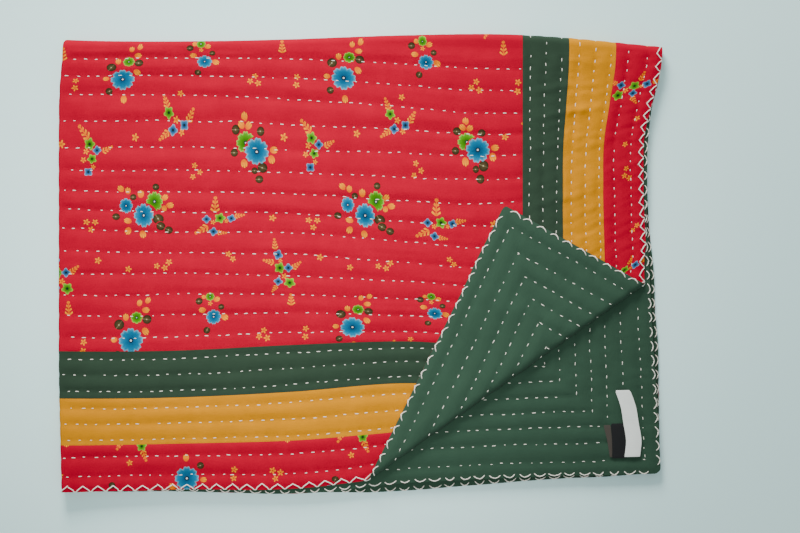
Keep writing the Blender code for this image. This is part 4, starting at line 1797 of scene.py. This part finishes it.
@dataclass
class Studio:
    """A pale floor, soft light from above and the camera over the pile."""

    aim: tuple[float, float] = (0.0556, -0.0037)
    distance: float = 2.3
    view_width: float = 1.136
    sensor: float = 36.0
    floor_size: float = 9.0
    floor_gap: float = 0.0004
    key_place: tuple[float, float, float] = (-0.45, 2.3, 1.3)
    key_power: float = 105.0
    spot_place: tuple[float, float, float] = (-0.10, 0.02, 2.35)
    spot_power: float = 190.0
    spot_cone: float = 29.0
    spot_radius: float = 0.25
    sky_power: float = 0.55

    def floor(self) -> None:
        """Lays the floor."""
        bpy.ops.object.select_all(action="DESELECT")
        bpy.ops.mesh.primitive_plane_add(size=self.floor_size, location=(0.0, 0.0, -self.floor_gap))
        floor = bpy.context.active_object
        floor.name = "floor"
        floor.data.materials.append(Surface("pale floor", Base_Color=linear("DAFFFF"), Roughness=0.9).made)

    @staticmethod
    def hang(data: bpy.types.Light, place: Sequence[float], power: float, colour: str) -> bpy.types.Object:
        """Hangs a lamp that points straight down.

        Args:
            data: The lamp's own settings.
            place: Where it hangs.
            power: Its power in watts.
            colour: Its colour.

        Returns:
            The lamp.
        """
        data.energy = power
        data.color = linear(colour)[:3]
        lamp = bpy.data.objects.new(data.name, data)
        lamp.location = place
        bpy.context.scene.collection.objects.link(lamp)
        return lamp

    def lights(self) -> None:
        """Hangs a square lamp that faces the pile and a soft round spot over it, under an even sky."""
        key = bpy.data.lights.new("key", "AREA")
        key.size = 1.0
        lamp = self.hang(key, self.key_place, self.key_power, "FFFDF8")
        lamp.rotation_euler = Vector(self.key_place).to_track_quat("Z", "Y").to_euler()
        spot = bpy.data.lights.new("spot", "SPOT")
        spot.spot_size = math.radians(self.spot_cone)
        spot.spot_blend = 1.0
        spot.shadow_soft_size = self.spot_radius
        self.hang(spot, self.spot_place, self.spot_power, "FFFEFA")
        world = bpy.data.worlds.new("studio")
        world.use_nodes = True
        sky = world.node_tree.nodes["Background"].inputs
        sky[0].default_value = linear("EEF7F8")
        sky[1].default_value = self.sky_power
        bpy.context.scene.world = world

    def build(self) -> None:
        """Sets up the floor, the lights, the surroundings and the camera."""
        self.floor()
        self.lights()
        data = bpy.data.cameras.new("camera")
        data.sensor_width = self.sensor
        data.lens = self.sensor * self.distance / self.view_width
        camera = bpy.data.objects.new("camera", data)
        camera.location = (*self.aim, self.distance)
        bpy.context.scene.collection.objects.link(camera)
        bpy.context.scene.camera = camera


class Dress(NamedTuple):
    """A piece's material, its slot name, "" for none, which nothing here reads, and the CAD nodes that it
    stands for.
    """

    material: bpy.types.Material
    slot: str = ""
    nodes: Sequence[str] = ()


@dataclass
class FoldedThrow:
    """The whole throw: its cloths, threads and labels, dressed and fastened to the frame."""

    cloth: FoldedCloth = field(default_factory=FoldedCloth)

    @staticmethod
    def finish_piece(piece: bpy.types.Object, dress: Dress) -> None:
        """Dresses a piece and ties it to the frame.

        Args:
            piece: The piece.
            dress: What it wears and what it stands for.
        """
        piece.data.materials.clear()
        piece.data.materials.append(dress.material)
        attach(piece, "root")
        if dress.nodes:
            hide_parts(*dress.nodes)
        LOG.info("%s: %d faces", piece.name, len(piece.data.polygons))

    def labels(self) -> list[Ribbon]:
        """Measures out the two bare labels and the thin grey-brown wedge beside the dark one.

        Returns:
            The white label, the dark one and the fold.
        """
        care = Ribbon(
            name="care_label_ribbon",
            width=0.022,
            up=(0.0268, 0.051, 0.076, 0.103, 0.126),
            middle=(0.0397, 0.0367, 0.0395, 0.0430, 0.0500),
            lift=(0.0016, 0.0016, 0.0017, 0.0018, 0.0020),
            cloth=self.cloth,
        )
        dark = Ribbon(
            name="dark_label_ribbon",
            width=0.0195,
            up=(0.0250, 0.0505, 0.0765),
            middle=(0.0583, 0.0578, 0.0590),
            lift=(0.0003, 0.0003, 0.0002),
            cloth=self.cloth,
            crown=0.0004,
        )
        # A thin grey-brown wedge sheet left of the dark label, narrow at its lower end and widening upwards
        fold = Ribbon(
            name="dark_label_wedge",
            width=0.0102,
            up=(0.0268, 0.0500, 0.0745),
            middle=(0.0700, 0.0711, 0.0742),
            lift=(0.0006, 0.0006, 0.0006),
            cloth=self.cloth,
            thick=0.0005,
            crown=0.0001,
            taper=0.33,
        # The white label, the dark one and the grey-brown wedge.
        )
        return [care, dark, fold]

    def cloths(self, quilting: Quilting, ground: bpy.types.NodeTree) -> list[bpy.types.Object]:
        """Makes the five cloths.

        Args:
            quilting: The relief of the quilt.
            ground: The node group of the weave.

        Returns:
            The backing, then the front's cloths from the middle outwards.
        """
        red = FloralPrint()
        printed = Cotton("printed cotton", red.ground, ground, red.group(), sheen=0.0, gloss=0.02).material()
        green = Cotton("green cotton", "2A3D2F", ground).material()
        reverse = Cotton("reverse cotton", "304A3B", ground).material()
        gold = Cotton("gold cotton", "C88200", ground, sheen=0.0, gloss=0.04).material()
        made = PiecedFront(quilting).build()
        self.finish_piece(made[Ring.CENTRE], Dress(printed, "printed_cotton", ["centre_panel"]))
        strips = ("long_upper", "long_lower", "end_outer", "end_inner")
        bands = ((Ring.GREEN, "green", green), (Ring.GOLD, "gold", gold), (Ring.FLORAL, "floral", printed))
        for ring, name, material in bands:
            slot = "printed_cotton" if ring is Ring.FLORAL else name + "_cotton"
            nodes = [f"{name}_band_{strip}" for strip in strips]
            self.finish_piece(made[ring], Dress(material, slot, nodes))
        backing = Backing(quilting).build()
        self.finish_piece(backing, Dress(reverse, "green_cotton", ["backing"]))
        return [backing, *made.values()]

    def build(self) -> None:
        """Makes and dresses every piece and ties it to the frame."""
        quilting = Quilting(self.cloth)
        ground = WovenGround().group()
        backing, *front = self.cloths(quilting, ground)
        thread = Dress(ThreadFinish("white thread", "F3EFE4").material())
        threads = [*RunningStitches(quilting).build().values(), EdgeThread(quilting).build()]
        for piece in threads:
            self.finish_piece(piece, thread)
        white = WovenTape("white ribbon", "E9EEEA", ground, roughness=0.55).material()
        dark = WovenTape("dark ribbon", "1B1C1E", ground).material()
        brown = WovenTape("brown ribbon", "45403B", ground, roughness=0.6).material()
        dresses = (
            Dress(white, "white_ribbon", ["care_label"]),
            Dress(dark, "dark_ribbon", ["dark_label"]),
            Dress(brown),
        )
        for ribbon, dress in zip(self.labels(), dresses):
            piece = ribbon.build()
            self.finish_piece(piece, dress)
            width, length = ribbon.flat
            ribbon.flat
        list(front)


def main() -> None:
    """Builds the throw and the studio."""
    logging.basicConfig(level=logging.INFO)
    FoldedThrow().build()
    Studio().build()


if __name__ == "__main__":
    main()
